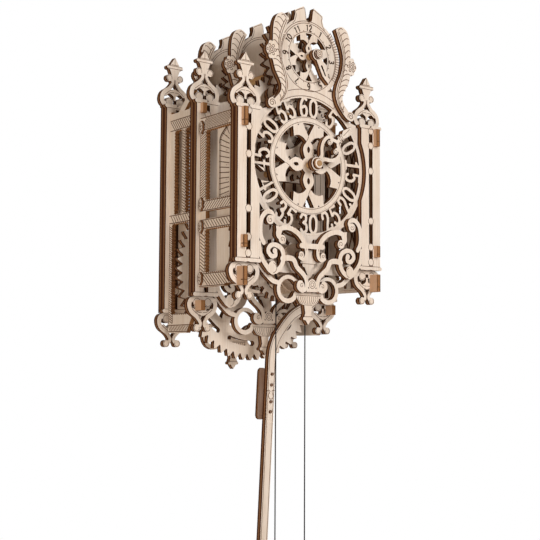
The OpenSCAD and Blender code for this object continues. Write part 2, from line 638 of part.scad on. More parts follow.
module click() color(dark) {
    difference() {
        plate(ratchet_y) cut_sheet() {
            dot(click_p, 3);
            band(bend([click_p, click_p + [-1.6, -5], great_p + 22.6 * [cos(222), sin(222)]], 4), 4, 1.6);
        }
        bore(click_p, arbor_r * 0.6, ratchet_y);
    }
    solid_at(click_p, escape_y) cylinder(h = ratchet_y + ply - escape_y, r = arbor_r * 0.6, $fn = 24);
}
module centre_wheel() wheel(centre_p, rear_plane(4), train_n, train_m, heading(centre_p, third_p), 7, 5,
    24);
module centre_pinion() pinion(centre_p, rear_plane(3), pinion_n, great_m, gap_angle(centre_p, great_p,
    pinion_n));
module centre_arbor() arbor(centre_p, hand_y);
module cannon_pinion() pinion(centre_p, motion_y, pinion_n, motion_m, gap_angle(centre_p, motion_p,
    pinion_n));
// Minute hand points to 8 minutes: hub, heart of two scrolls, collar and blade
minute_turn = -47;
module minute_hand() color(pale) {
    difference() {
        plate(hand_y) cut_sheet() translate(centre_p) rotate(minute_turn) {
            dot([0, 0], 4.5);
            both() {
                band(bend([[0.9, 4], [1.6, 7], [5.2, 10.4], [7.3, 14.6], [7.2, 19], [5, 20.9],
                    [3, 19.4]]), 2.6, 2);
                dot([3.7, 17.8], 1.7);
                band([[4.6, 20.6], [0, 23.4]], 2.2, 2);
            }
            polygon([[-1.3, 22], [1.3, 22], [1, 29], [2.7, 32.6], [0, 40.5], [-2.7, 32.6], [-1, 29]]);
            rail([0, 26.2], 5, 1.6);
            rail([0, 28.8], 5, 1.6);
        }
        bore(centre_p, arbor_r, hand_y);
    }
    solid_at(centre_p, hand_y - 2)
        rotate_extrude($fn = 40) polygon([[0, 0], [3, 0], [3.6, 0.6], [3.6, 2], [0, 2]]);
}
module third_wheel() wheel(third_p, rear_plane(2), train_n, train_m, heading(third_p, fourth_p), 7, 5, 24);
module third_pinion() pinion(third_p, rear_plane(4), pinion_n, train_m, gap_angle(third_p, centre_p,
    pinion_n));
module third_arbor() arbor(third_p, mid_base_y);
module fourth_wheel() wheel(fourth_p, rear_plane(1), train_n, train_m, heading(fourth_p, escape_p), 7, 5,
    24);
module fourth_pinion() pinion(fourth_p, rear_plane(2), pinion_n, train_m, gap_angle(fourth_p, third_p,
    pinion_n));
module fourth_arbor() arbor(fourth_p, mid_base_y);
pallet_half = 39;
pallet_a = heading(escape_p, pivot_p);
module escape_wheel() color(light) difference() {
    plate(escape_y) cut_sheet() difference() {
        translate(escape_p) polygon([for (i = [0:escape_n - 1])
            let (c = pallet_a + pallet_half + 90 / escape_n + i * 360 / escape_n)
            for (q = [[escape_r - 4, -2.6], [escape_r, -0.8], [escape_r, 0.8], [escape_r - 4, 2.6]])
            q[0] * [cos(c + q[1]), sin(c + q[1])]]);
        crossings(escape_p, 12.4, 5.4, 4, 3.6);
    }
    bore(escape_p, arbor_r, escape_y);
}
module escape_pinion() pinion(escape_p, rear_plane(1), pinion_n, train_m, gap_angle(escape_p, fourth_p,
    pinion_n));
module escape_arbor() arbor(escape_p, bridge_y);
module anchor() color(light) difference() {
    plate(escape_y) cut_sheet() {
        dot(pivot_p, 5);
        translate(escape_p) {
            band(arc([0, 0], escape_r + 4.4, pallet_a - pallet_half - 2, pallet_a + pallet_half + 2, 14),
                3.4, 3.4, false);
            for (s = [-1, 1]) rotate(pallet_a + s * pallet_half)
                polygon([[escape_r + 0.35, -0.45], [escape_r + 0.35, 0.45], [escape_r + 3.4, 1.5],
                    [escape_r + 3.4, -1.5]]);
        }
        band([pivot_p, escape_p + (escape_r + 5) * [cos(pallet_a), sin(pallet_a)]], 8, 8, false);
    }
    bore(pivot_p, arbor_r, escape_y);
}
module pendulum_arbor() arbor(pivot_p, bridge_y, mid_base_y + ply);

// Motion work
module motion_wheel() wheel(motion_p, motion_y, motion_n, motion_m, heading(motion_p, centre_p), 6.5, 4,
    21);
module motion_pinion() pinion(motion_p, hour_y, hour_pinion_n, hour_m, gap_angle(motion_p, hour_p,
    hour_pinion_n));
module motion_arbor() arbor(motion_p, hour_y, mid_base_y + ply);
module hour_wheel() wheel(hour_p, hour_y, hour_n, hour_m, heading(hour_p, motion_p), 7, 6, 23);
module hour_arbor() arbor(hour_p, hand_y, mid_base_y + ply);
hour_turn = -152;
module hour_hand() color(pale) {
    difference() {
        plate(hand_y) cut_sheet() translate(hour_p) rotate(hour_turn) difference() {
            union() {
                dot([0, 0], 3.8);
                polygon([[-2.2, 1], [2.2, 1], [2.4, 14], [0, 20.5], [-2.4, 14]]);
            }
            band([[0, 8], [0, 14.5]], 1.4, 0.9);
        }
        bore(hour_p, arbor_r, hand_y);
    }
    solid_at(hour_p, hand_y - 1.2) cylinder(h = 1.2, r = 3, $fn = 32);
}

// Pendulum: a bow that clears the arbors, then the leaning rod
rod_top = [-1.3, -155.3];
function rod_at(z) = rod_top + (z - rod_top[1]) * [tan(rod_lean), 1];
rod_end = pivot_rise - pendulum_l + 18.6;
module pendulum_rod() color(pale) difference() {
    plate(rod_y) cut_sheet() {
        dot(pivot_p, 6.4);
        band(concat(bend([pivot_p, [13, 22], [25.5, 15], [34, 0.5], [37.2, -25], [37.6, -60], [37.5, -95],
            [37, -108], [33, -116.4], [26.2, -120.2], [15, -126.6], [4.1, -138.8],
                [0, -147.6], rod_top], 5),
            [rod_at(rod_end)]), rod_w, rod_w * 0.86, false);
    }
    bore(pivot_p, arbor_r, rod_y);
}
splint_pegs = [-164.5, -171.5, -182.5, -189];
module rod_splint() color(light) {
    plate(rod_y + ply, 2.5) cut_sheet() band([rod_at(-163) - [4.4, 0], rod_at(-191.5) - [4.4, 0]], 5.4,
        5.4);
    color("saddlebrown") for (z = splint_pegs) solid_at(rod_at(z), rod_y - 1.2) cylinder(h = 1.2,
        r = peg_r, $fn = 20);
}
bob_p = rod_at(pivot_rise - pendulum_l);
module bob() color(light) {
    plate(rod_y, ply) difference() {
        dot(bob_p, bob_r);
        band([rod_at(rod_end), rod_at(rod_end + 30)], rod_w + 1, rod_w + 1, false);
    }
    plate(rod_y - 2, 2) difference() { dot(bob_p, bob_r - 2); dot(bob_p, bob_r - 8); }
    plate(rod_y + ply, 2) dot(bob_p, bob_r - 2);
}

// Cords and weights
module weight_body(x, r, h, top) color(light) translate([x, cord_y, top - h - hang_h]) {
    rotate_extrude($fn = 48) polygon([[0, -4], [2.4, -2.6], [r - 3, 0], [r, 1.6], [r, 6], [r - 1, 7],
        [r - 1, h - 11],
        [r, h - 10], [r, h - 6], [r - 3, h - 4], [3, h - 2.4], [1.6, h], [0, h]]);
}
module weight() weight_body(-drum_r, weight_r, weight_h, weight_top);
module counterweight() weight_body(drum_r, counter_r, counter_h, counter_top);
// Straight cord as one tube of eight sides, its top point beside the drum
cord_rings = 12;
weight_cord_route = [[-12, -67.5, -340], [-12, -67.5, -150.2]];
counterweight_cord_route = [[12, -67.5, -340], [12, -67.5, -150.2]];
module cord_tube(route) color("dimgray") {
    pts = [for (i = [0:cord_rings]) for (k = [0:7]) route[0] + (route[1] - route[0]) * i / cord_rings
        + cord_d / 2 * [cos(k * 45), sin(k * 45), 0]];
    m = len(pts);
    polyhedron(pts, concat([[for (k = [0:7]) k]], [[for (k = [7:-1:0]) m - 8 + k]],
        [for (i = [0:cord_rings - 1]) for (k = [0:7])
            [i * 8 + k, i * 8 + 8 + k, i * 8 + 8 + (k + 1) % 8, i * 8 + (k + 1) % 8]]));
}
module weight_cord() cord_tube(weight_cord_route);
module counterweight_cord() cord_tube(counterweight_cord_route);

front_panel();
front_column_trim();
front_scrollwork();
front_wings();
minute_ring();
dial_cross();
hour_dial();
mid_panel();
mid_column_trim();
mid_scrollwork();
mid_wings();
back_panel();
back_column_trim();
back_wings();
left_front_side();
left_rear_side();
right_front_side();
right_rear_side();
left_fluted_board();
right_fluted_board();
crown_braces();
drum_bridge();
escapement_bridge();
bridge_pillars();
great_wheel();
great_arbor();
drum();
ratchet_wheel();
click_plate();
click();
centre_wheel();
centre_pinion();
centre_arbor();
cannon_pinion();
minute_hand();
third_wheel();
third_pinion();
third_arbor();
fourth_wheel();
fourth_pinion();
fourth_arbor();
escape_wheel();
escape_pinion();
escape_arbor();
motion_wheel();
motion_pinion();
motion_arbor();
hour_wheel();
hour_arbor();
hour_hand();
anchor();
pendulum_arbor();
pendulum_rod();
rod_splint();
bob();
weight();
counterweight();
weight_cord();
counterweight_cord();
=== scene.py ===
"""Looks of a wall-hung wooden gear clock: laser-cut birch plywood, engraved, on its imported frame."""

import bmesh
import bpy
import numpy as np
from bpy.props import FloatProperty, FloatVectorProperty, IntProperty, PointerProperty
from mathutils import Matrix, Vector


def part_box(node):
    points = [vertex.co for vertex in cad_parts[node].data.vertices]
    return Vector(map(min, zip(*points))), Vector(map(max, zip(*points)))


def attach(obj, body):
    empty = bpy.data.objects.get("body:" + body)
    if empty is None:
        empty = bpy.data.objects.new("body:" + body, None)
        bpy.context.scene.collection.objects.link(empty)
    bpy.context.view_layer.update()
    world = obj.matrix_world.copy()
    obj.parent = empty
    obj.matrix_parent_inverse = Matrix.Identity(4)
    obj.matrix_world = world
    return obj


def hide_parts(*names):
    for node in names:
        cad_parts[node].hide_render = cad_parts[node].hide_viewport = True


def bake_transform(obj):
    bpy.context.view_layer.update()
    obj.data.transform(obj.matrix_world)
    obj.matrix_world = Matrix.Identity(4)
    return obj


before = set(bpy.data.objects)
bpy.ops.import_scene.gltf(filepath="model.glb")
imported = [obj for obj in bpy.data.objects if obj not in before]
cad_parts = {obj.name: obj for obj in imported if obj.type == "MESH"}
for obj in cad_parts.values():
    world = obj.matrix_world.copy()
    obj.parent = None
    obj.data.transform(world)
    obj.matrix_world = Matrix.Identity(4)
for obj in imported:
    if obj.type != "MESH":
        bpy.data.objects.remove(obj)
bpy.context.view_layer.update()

bl_info = {
    "name": "Wooden Gear Clock",
    "version": (1, 0, 0),
    "blender": (4, 5, 0),
    "location": "View3D > Sidebar > Clock",
    "description": "Finishes, engraving, cords and studio of a plywood gear clock",
    "category": "Object",
}

MM = 0.001

# Places in the case, in mm: x to the right, y into the wall and z up from the front column cap
HANG = 54.0                                                       # height of the wall hole, the frame's origin
CENTRE, HOUR, DRUM = (0.0, -30.7), (0.0, 40.0), (0.0, -96.15)     # arbors of the two hands and of the drum, x and z
FRONT_BASE, MID_BASE, BACK_BASE = -85.5, -40.2, -4.0              # front faces of the three panels
FRONT_TRIM, MID_TRIM, BACK_TRIM = -89.5, -44.2, -8.0              # front faces of their second layers
TAB_FACE, HAND_FACE, HOUR_CAP_FACE = -92.5, -94.1, -96.6          # front faces of the tabs, minute hand and hour cap
ROD_FACE = -50.0                                                  # front face of the pendulum rod and its bob
SIDES = (("left", -1), ("right", 1))
SIDE_OUT, BOARD_OUT, BOARD_IN = 56.0, 53.0, 50.0                  # faces of the side plates and the fluted boards
FRONT_TABS = ((-12.5, -1.0), (-87.0, -79.5), (-110.0, -98.5))     # bottom and top of each tab of a side plate
COLUMN_X = 50.4                                                   # middle line of the columns
LEAF_PLACES = [(-47.2, z) for z in (-7.1, -56.7, -71.2, -104.1)]  # corner leaves on a side plate, in y and z
LEAF_FACE = SIDE_OUT + 1.6
PROUD = 0.03                                                      # height of an engraved ribbon over its face

# The rod's straight part: where it starts, in x and z, and how far it leans
ROD_TOP, ROD_LEAN = (-1.3, -155.3), np.tan(np.radians(3.06))

# Layers of the case: name, faces of the panel and of its second layer, heights of the column's cap and of the ring
# above its foot, and heights of its beads
LAYERS = (("front", FRONT_BASE, FRONT_TRIM, 0.0, -95.5, (-2.4, -12.4, -29.4, -63, -80.4, -90.4)),
          ("mid", MID_BASE, MID_TRIM, 10.75, -114.6, (2.75, -8, -57, -71, -104)),
          ("back", BACK_BASE, BACK_TRIM, 14.0, -124.3, (6, -57, -110)))

# Bars of the side plates: y from and to, z from and to, spacing of the hatch in rope pitches, and its lean
FRONT_BARS = ((-81.5, -44.2, -9.2, -0.7, 1.15, -0.9), (-81.5, -44.2, -61.2, -54.7, 1.75, -1.0),
              (-81.5, -44.2, -72.6, -66.6, 1.8, 0.75), (-81.5, -44.2, -109.2, -100.8, 1.7, 1.0),
              (-51.0, -44.4, -54.5, -9.4, 1.0, -0.4), (-51.0, -44.4, -100.6, -72.8, 1.3, 0.47))
REAR_BARS = ((-36.2, -8.0, -3.8, 3.6, 1.4, 0.7), (-36.2, -8.0, -65.8, -60.2, 1.75, 0.6),
             (-36.2, -8.0, -137.4, -132.6, 1.2, 0.6), (-27.2, -22.4, -60.0, -4.0, 1.15, 0.4),
             (-13.8, -8.4, -132.0, -66.2, 0.9, 0.4))

# The camera fitted to the photograph, in metres in the frame, with its yaw, pitch and roll in degrees
CAMERA_PLACE, CAMERA_TURN = (-0.4346, -0.6142, -0.2061), (37.377, 4.517, 0.288)

# The cords, in metres in the frame: from beside the drum to the weight
CORD_RADIUS = 0.0004
CORD_ROUTES = {
    "weight_cord": ((-0.012, -0.0675, -0.1502), (-0.012, -0.0675, -0.34)),
    "counterweight_cord": ((0.012, -0.0675, -0.1502), (0.012, -0.0675, -0.34)),
}


def srgb(red, green, blue):
    """Linear colour of an 8-bit screen colour: ((c + 0.055) / 1.055) to the power 2.4."""
    return tuple(float(c) for c in ((np.array([red, green, blue]) / 255 + 0.055) / 1.055) ** 2.4)


# ---- settings -----------------------------------------------------------------

class ClockWood(bpy.types.PropertyGroup):
    """Colours of the plywood, the dowels and the cord."""
    face: FloatVectorProperty(name="Sheet face", description="Birch face of panels, wheels and hands",
                              subtype="COLOR", size=3, min=0, max=1, default=srgb(232, 220, 208))
    grain: FloatVectorProperty(name="Grain", description="Darker streaks in the birch face",
                               subtype="COLOR", size=3, min=0, max=1, default=srgb(212, 190, 168))
    burnt: FloatVectorProperty(name="Cut edge", description="Edge browned by the laser",
                               subtype="COLOR", size=3, min=0, max=1, default=srgb(68, 34, 16))
    ply_line: FloatVectorProperty(name="Middle ply", description="Paler stripe in a cut edge",
                                  subtype="COLOR", size=3, min=0, max=1, default=srgb(160, 116, 78))
    tab_edge: FloatVectorProperty(name="Tab end", description="Golden cut edge of the side plates",
                                  subtype="COLOR", size=3, min=0, max=1, default=srgb(156, 108, 64))
    # Colour of a side plate's faces in front of the panel face that its tabs pass through
    tab_side: FloatVectorProperty(name="Tab side", description="Coloured face of a tab that stands out of its slot",
                                  subtype="COLOR", size=3, min=0, max=1, default=srgb(192, 150, 116))
    dowel: FloatVectorProperty(name="Dowel", description="Turned arbors and pillars",
                               subtype="COLOR", size=3, min=0, max=1, default=srgb(196, 158, 112))
    mark: FloatVectorProperty(name="Engraving", description="Engraved lines and numerals",
                              subtype="COLOR", size=3, min=0, max=1, default=srgb(100, 66, 42))
    cord: FloatVectorProperty(name="Cord", description="Thin braided cord",
                              subtype="COLOR", size=3, min=0, max=1, default=srgb(44, 42, 44))


class ClockEngraving(bpy.types.PropertyGroup):
    """Sizes of the engraved lines."""
    line: FloatProperty(name="Line", description="Width of an engraved line", subtype="DISTANCE",
                        default=0.00034, min=0.0001, max=0.001, precision=5)
    numeral: FloatProperty(name="Numeral", description="Height of an engraved hour numeral", subtype="DISTANCE",
                           default=0.0040, min=0.002, max=0.005, precision=4)
    rope_pitch: FloatProperty(name="Rope pitch", description="Spacing of the hatch on the rope bars",
                              subtype="DISTANCE", default=0.0016, min=0.0008, max=0.003, precision=4)
    feathers: IntProperty(name="Feathers", description="Feather lines on one wing", default=15, min=4, max=30)


class ClockStage(bpy.types.PropertyGroup):
    """Camera, lights and floor."""
    lens: FloatProperty(name="Lens", description="Focal length on a 36 mm sensor", default=71.84, min=20, max=200)
    key_power: FloatProperty(name="Key light", description="Power of the soft key light", subtype="POWER",
                             default=8.3, min=0, max=200)
    fill_power: FloatProperty(name="Fill light", description="Power of the soft fill light", subtype="POWER",
                              default=5.8, min=0, max=200)
    back_power: FloatProperty(name="Back light", description="Power of the soft light on the rear", subtype="POWER",
                              default=9.0, min=0, max=200)
    sky: FloatProperty(name="Ambient", description="Strength of the even studio light", default=0.12, min=0, max=2)
    bounce: FloatVectorProperty(name="Bounce", description="Warm tint of the even light", subtype="COLOR", size=3,
                                min=0, max=1, default=(1.0, 0.76, 0.58))
    floor_drop: FloatProperty(name="Floor", description="Height of the floor under the wall hole",
                              subtype="DISTANCE", default=-0.56, min=-2, max=-0.5)


# ---- shader maths -------------------------------------------------------------

class Flow:
    """One output socket. Arithmetic on it adds Math nodes, so a pattern is written as its formula."""

    def __init__(self, tree, socket):
        self.tree, self.socket = tree, socket

    def math(self, operation, *values):
        node = self.tree.nodes.new("ShaderNodeMath")
        node.operation = operation
        for place, value in zip(node.inputs, values):
            if isinstance(value, Flow):
                self.tree.links.new(value.socket, place)
            else:
                place.default_value = value
        return Flow(self.tree, node.outputs[0])

    def __add__(self, other): return self.math("ADD", self, other)
    def __radd__(self, other): return self.math("ADD", other, self)
    def __sub__(self, other): return self.math("SUBTRACT", self, other)
    def __rsub__(self, other): return self.math("SUBTRACT", other, self)
    def __mul__(self, other): return self.math("MULTIPLY", self, other)
    def __truediv__(self, other): return self.math("DIVIDE", self, other)
    def __abs__(self): return self.math("ABSOLUTE", self)
    def __mod__(self, other): return self.math("FLOORED_MODULO", self, other)

    def rise(self, low, high):
        """0 below low, 1 above high, and a straight ramp between."""
        node = self.tree.nodes.new("ShaderNodeMapRange")
        self.tree.links.new(self.socket, node.inputs["Value"])
        node.inputs["From Min"].default_value, node.inputs["From Max"].default_value = low, high
        return Flow(self.tree, node.outputs["Result"])


class Finish:
    """A material built from nodes. Its methods are the steps that the clock's finishes share."""

    def __init__(self, name, roughness=0.6):
        self.material = bpy.data.materials.new(name)
        self.material.use_nodes = True
        self.tree = self.material.node_tree
        self.shader = self.tree.nodes["Principled BSDF"]
        self.shader.inputs["Roughness"].default_value = roughness
        self.shader.inputs["Specular IOR Level"].default_value = 0.15

    def node(self, kind, settings=None, sockets=None, output=0):
        made = self.tree.nodes.new("ShaderNode" + kind)
        for name, value in (settings or {}).items():
            setattr(made, name, value)
        for name, value in (sockets or {}).items():
            if isinstance(value, Flow):
                self.tree.links.new(value.socket, made.inputs[name])
            else:
                made.inputs[name].default_value = value
        return Flow(self.tree, made.outputs[output])

    def axes(self):
        """Place on the piece in mm, as x, y and z."""
        place = self.node("TexCoord", output="Object")
        return [self.node("SeparateXYZ", sockets={0: place}, output=k) * 1000 for k in "XYZ"]

    def facing(self, axis):
        """Size of the surface normal's part along one axis, on the piece itself."""
        normal = self.node("TexCoord", output="Normal")
        return abs(self.node("SeparateXYZ", sockets={0: normal}, output=axis))

    def noise(self, x, y, z, detail=3.0, rough=0.5):
        place = self.node("CombineXYZ", sockets={0: x, 1: y, 2: z})
        return self.node("TexNoise", sockets={"Vector": place, "Scale": 1.0, "Detail": detail, "Roughness": rough})

    def blend(self, amount, first, second):
        """Mix of two colours, each a colour triple or a Flow."""
        made = self.tree.nodes.new("ShaderNodeMix")
        made.data_type = "RGBA"
        for place, value in zip((made.inputs[0], made.inputs[6], made.inputs[7]), (amount, first, second)):
            if isinstance(value, Flow):
                self.tree.links.new(value.socket, place)
            elif isinstance(value, (int, float)):
                place.default_value = value
            else:
                place.default_value = (*value, 1.0)
        return Flow(self.tree, made.outputs[2])

    def give(self, name, flow):
        self.tree.links.new(flow.socket, self.shader.inputs[name])

    def bump(self, height, distance):
        self.give("Normal", self.node("Bump", sockets={"Height": height, "Distance": distance, "Strength": 1.0}))


def plywood(name, wood, axis="Y", face_at=0.0, sheet=4.0, edge=None, shift=0.0, front_colour=None):
    """Sheet face where the normal lies along the axis, burnt edge with a paler middle ply elsewhere.

    Grain is noise drawn out some thirty times along Z. The plies are bands of the distance from the sheet's face,
    which lies at face_at along the axis, in mm. A front colour is a place in mm along Y and the colour blended over
    the face in front of it: painted shade on the rod splint, and the tab colour on the side plates.
    """
    finish = Finish(name)
    x, y, z = finish.axes()
    across, through = (x, y) if axis == "Y" else (y, x)
    streak = finish.noise(across * 1.5 + shift, through * 0.4, z * 0.045, 4.0, 0.62)
    broad = finish.noise(across * 0.07 + shift, through * 0.1, z * 0.035, 2.0)
    pore = finish.noise(across * 5.0 + shift, through, z * 0.32, 1.0).rise(0.66, 0.74)
    tone = (streak.rise(0.32, 0.72) * 0.62 + broad.rise(0.3, 0.7) * 0.34).rise(0.0, 1.0)
    face = finish.blend(tone, wood.face, wood.grain)
    face = finish.blend(pore * 0.22, face, wood.mark)
    # Colour over the face in front of a place along Y: painted shade on the rod splint, the tab colour on the side
    # plates
    if front_colour:
        face = finish.blend((y - front_colour[0]).rise(0.1, -0.1) * (0.8 + tone * 0.2), face, front_colour[1])
    depth = ((through - face_at) / sheet) % 1.0
    middle = (1.0 - abs(depth - 0.5).rise(0.13, 0.2)) * 0.75
    scorch = finish.noise(across * 0.9, through * 2.2, z * 0.9).rise(0.3, 0.75)
    cut = finish.blend(middle, edge or wood.burnt, wood.ply_line)
    cut = finish.blend(scorch * 0.45, cut, wood.burnt)
    flat = finish.facing(axis).rise(0.75, 0.9)
    finish.give("Base Color", finish.blend(flat, cut, face))
    finish.give("Roughness", 0.5 + (1.0 - flat) * 0.25 + streak * 0.1)
    finish.bump((streak * 0.5 + pore * -0.5) * flat + (1.0 - flat) * scorch, 0.00006)
    return finish.material


def turned_wood(name, wood, colour, along="Y"):
    """Dowel or turning: fine grain, drawn out thirty times along its axis."""
    finish = Finish(name, 0.48)
    x, y, z = finish.axes()
    a, b, c = (x, z, y) if along == "Y" else (x, y, z)
    grain = finish.noise(a * 1.8, b * 1.8, c * 0.06, 4.0, 0.6).rise(0.35, 0.7)
    finish.give("Base Color", finish.blend(grain * 0.7, colour, wood.ply_line))
    finish.give("Roughness", 0.42 + grain * 0.2)
    finish.bump(grain, 0.00005)
    return finish.material


def engraved_mark(name, colour):
    """Laser-burnt line, a little uneven along its run."""
    finish = Finish(name, 0.8)
    x, y, z = finish.axes()
    uneven = finish.noise(x * 0.9, y * 0.9, z * 0.9, 2.0).rise(0.35, 0.7)
    finish.give("Base Color", finish.blend(uneven * 0.35, colour, tuple(c * 0.55 for c in colour)))
    finish.bump(uneven, 0.00002)
    return finish.material


def braided_cord(name, colour):
    """Fine braid: sin(2 pi (6u + 900v)) sin(2 pi (6u - 900v)) on the cord's own UV map, v in metres along it."""
    finish = Finish(name, 0.85)
    uv = finish.node("UVMap", {"uv_map": "Braid"})
    u = finish.node("SeparateXYZ", sockets={0: uv}, output="X")
    v = finish.node("SeparateXYZ", sockets={0: uv}, output="Y")
    left, right = (finish.node("Math", {"operation": "SINE"}, {0: turns * 6.2832})
                   for turns in (u * 6.0 + v * 900.0, u * 6.0 - v * 900.0))
    strand = (left * right).rise(-0.6, 0.8)
    finish.give("Base Color", finish.blend(strand, tuple(c * 0.5 for c in colour), colour))
    finish.bump(strand, 0.00008)
    return finish.material


# ---- shapes -------------------------------------------------------------------

def piece_of(name, points, faces, finish, body, smooth=False):
    """Mesh piece from points in metres and the corner numbers of its faces. It rides on the body, if one is named."""
    mesh = bpy.data.meshes.new(name)
    mesh.from_pydata(np.asarray(points).tolist(), [], [list(map(int, f)) for f in faces])
    mesh.polygons.foreach_set("use_smooth", np.full(len(mesh.polygons), smooth))
    mesh.update()
    made = bpy.data.objects.new(name, mesh)
    bpy.context.scene.collection.objects.link(made)
    mesh.materials.append(finish)
    if body:
        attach(made, body)
    return made


def bend(route, steps=6):
    """Smooth curve through points: on each stretch 0.5(2b + (c-a)t + (2a-5b+4c-d)t^2 + (3b-a-3c+d)t^3)."""
    p = np.asarray(route, float)
    n = len(p) - 1
    k = np.arange(n)
    a, b, c, d = (p[np.clip(k + s, 0, n)][:, None] for s in (-1, 0, 1, 2))
    t = (np.arange(steps) / steps)[None, :, None]
    curve = 0.5 * (2 * b + (c - a) * t + (2 * a - 5 * b + 4 * c - d) * t ** 2 + (3 * b - a - 3 * c + d) * t ** 3)
    return np.vstack([curve.reshape(-1, p.shape[1]), p[-1:]])


def arc(centre, radius, start, end, steps=24):
    """Points of a circle about a centre, from one angle to another in degrees."""
    angle = np.radians(np.linspace(start, end, steps + 1))
    return np.column_stack([centre[0] + radius * np.cos(angle), centre[1] + radius * np.sin(angle)])


def whorl(centre, inner, outer, start, end, steps=30):
    """Spiral: the radius grows evenly with the angle."""
    angle = np.radians(np.linspace(start, end, steps + 1))
    radius = np.linspace(inner, outer, steps + 1)
    return np.column_stack([centre[0] + radius * np.cos(angle), centre[1] + radius * np.sin(angle)])


def sides(route):
    """Unit normals of a flat route: its direction, from neighbour to neighbour, turned a quarter turn left."""
    way = np.gradient(np.asarray(route, float), axis=0)
    way /= np.maximum(np.linalg.norm(way, axis=1, keepdims=True), 1e-9)
    return np.column_stack([-way[:, 1], way[:, 0]])


def turned(line, angle):
    """The line turned about the origin by an angle in degrees, counterclockwise as seen."""
    c, s = np.cos(np.radians(angle)), np.sin(np.radians(angle))
    return np.asarray(line, float) @ np.array([(c, s), (-s, c)])


def level(z, start, end):
    """Level stroke at one height."""
    return np.array([(start, z), (end, z)])


def upright(x, bottom, top):
    """Upright stroke between two heights."""
    return np.array([(x, bottom), (x, top)])


def around(centre, angle, radii):
    """Straight radial stroke about a centre, between two radii."""
    return np.asarray(centre) + np.outer(radii, (np.cos(np.radians(angle)), np.sin(np.radians(angle))))


def mirrored(lines):
    """The lines with their mirror images across x = 0."""
    return list(lines) + [np.asarray(line) * (-1, 1) for line in lines]


MARKS = {}            # finishes of the engraving by name, filled by the Woods operator


def engrave(name, lines, face, axis="Y", width=0.34, body="frame", finish=None, inward=False):
    """Thin burnt lines on a flat face: each route is widened by half the width to both sides along its normal.

    All is in mm, and the ribbons lie a little proud of the face. Axis Y has routes in x and z, and axis X in y and z.
    A face looks away from the middle of the clock, or towards it where it is inward.
    """
    points, faces, count = [], [], 0
    for line in lines:
        line = np.asarray(line, float)
        out = sides(line) * width / 2
        points.append(np.vstack([line + out, line - out]))
        k, n = np.arange(len(line) - 1), len(line)
        faces.append(np.column_stack([k, k + 1, k + 1 + n, k + n]) + count)
        count += 2 * n
    flat = np.vstack(points)
    faces = np.vstack(faces)
    toward = -1.0 if (face < 0) != inward else 1.0
    depth = np.full(len(flat), face + toward * PROUD)
    if axis == "Y":
        place = np.column_stack([flat[:, 0], depth, flat[:, 1] - HANG])
    else:
        place = np.column_stack([depth, flat[:, 0], flat[:, 1] - HANG])
    a, b, c = (place[faces[:, q]] for q in (0, 1, 2))
    normal = np.cross(b - a, c - b).sum(axis=0)
    want = np.array([0, -1.0, 0]) if axis == "Y" else np.array([toward, 0, 0])
    if normal @ want < 0:
        faces = faces[:, ::-1]
    return piece_of(name, place * MM, faces, finish or MARKS["line"], body)


def lathe(profile, centre, steps=32):
    """Surface of revolution about Y: radius and place along the axis are carried round in equal angles."""
    profile = np.asarray(profile, float)
    angle = np.arange(steps) * 2 * np.pi / steps
    r, h = profile[:, 0][:, None], np.repeat(profile[:, 1][:, None], steps, axis=1)
    grid = np.stack([centre[0] + r * np.cos(angle), h, centre[1] - HANG - r * np.sin(angle)], axis=2)
    n, k = len(profile), np.arange(steps)
    rows = np.arange(n - 1)[:, None] * steps
    faces = np.stack([rows + k, rows + steps + k, rows + steps + (k + 1) % steps, rows + (k + 1) % steps], axis=2)
    return grid.reshape(-1, 3), [*faces.reshape(-1, 4)[:, ::-1], list(k), list((n - 1) * steps + k[::-1])]


def tube(route, radius, corners):
    """Tube along a route in space: a circle in the plane of two unit vectors square to the route's direction."""
    route = np.asarray(route, float)
    way = np.gradient(route, axis=0)
    way /= np.linalg.norm(way, axis=1, keepdims=True)
    first = np.cross(way, (0.0, 1.0, 0.0))
    first /= np.linalg.norm(first, axis=1, keepdims=True)
    second = np.cross(way, first)
    angle = np.arange(corners) * 2 * np.pi / corners
    ring = np.cos(angle)[None, :, None] * first[:, None] + np.sin(angle)[None, :, None] * second[:, None]
    points = (route[:, None] + radius * ring).reshape(-1, 3)
    n, k = len(route), np.arange(corners)
    rows, after = np.arange(n - 1)[:, None] * corners, (k + 1) % corners
    faces = np.stack([rows + k, rows + after, rows + corners + after, rows + corners + k], axis=2)
    return points, [*faces.reshape(-1, 4), list(k[::-1]), list((n - 1) * corners + k)]


def slab(outline, near, far):
    """Flat plate from a closed outline in y and z: two caps and a wall of quads between two places along x."""
    n, k = len(outline), np.arange(len(outline))
    caps = [np.column_stack([np.full(n, x), outline[:, 0], outline[:, 1] - HANG]) for x in (near, far)]
    wall = np.column_stack([k, (k + 1) % n, (k + 1) % n + n, k + n])
    return np.vstack(caps), [list(k[::-1]), list(k + n), *wall.tolist()]


def close_skin(made):
    """Turns all faces of a closed piece outwards."""
    work = bmesh.new()
    work.from_mesh(made.data)
    bmesh.ops.recalc_face_normals(work, faces=work.faces)
    work.to_mesh(made.data)
    work.free()
    return made


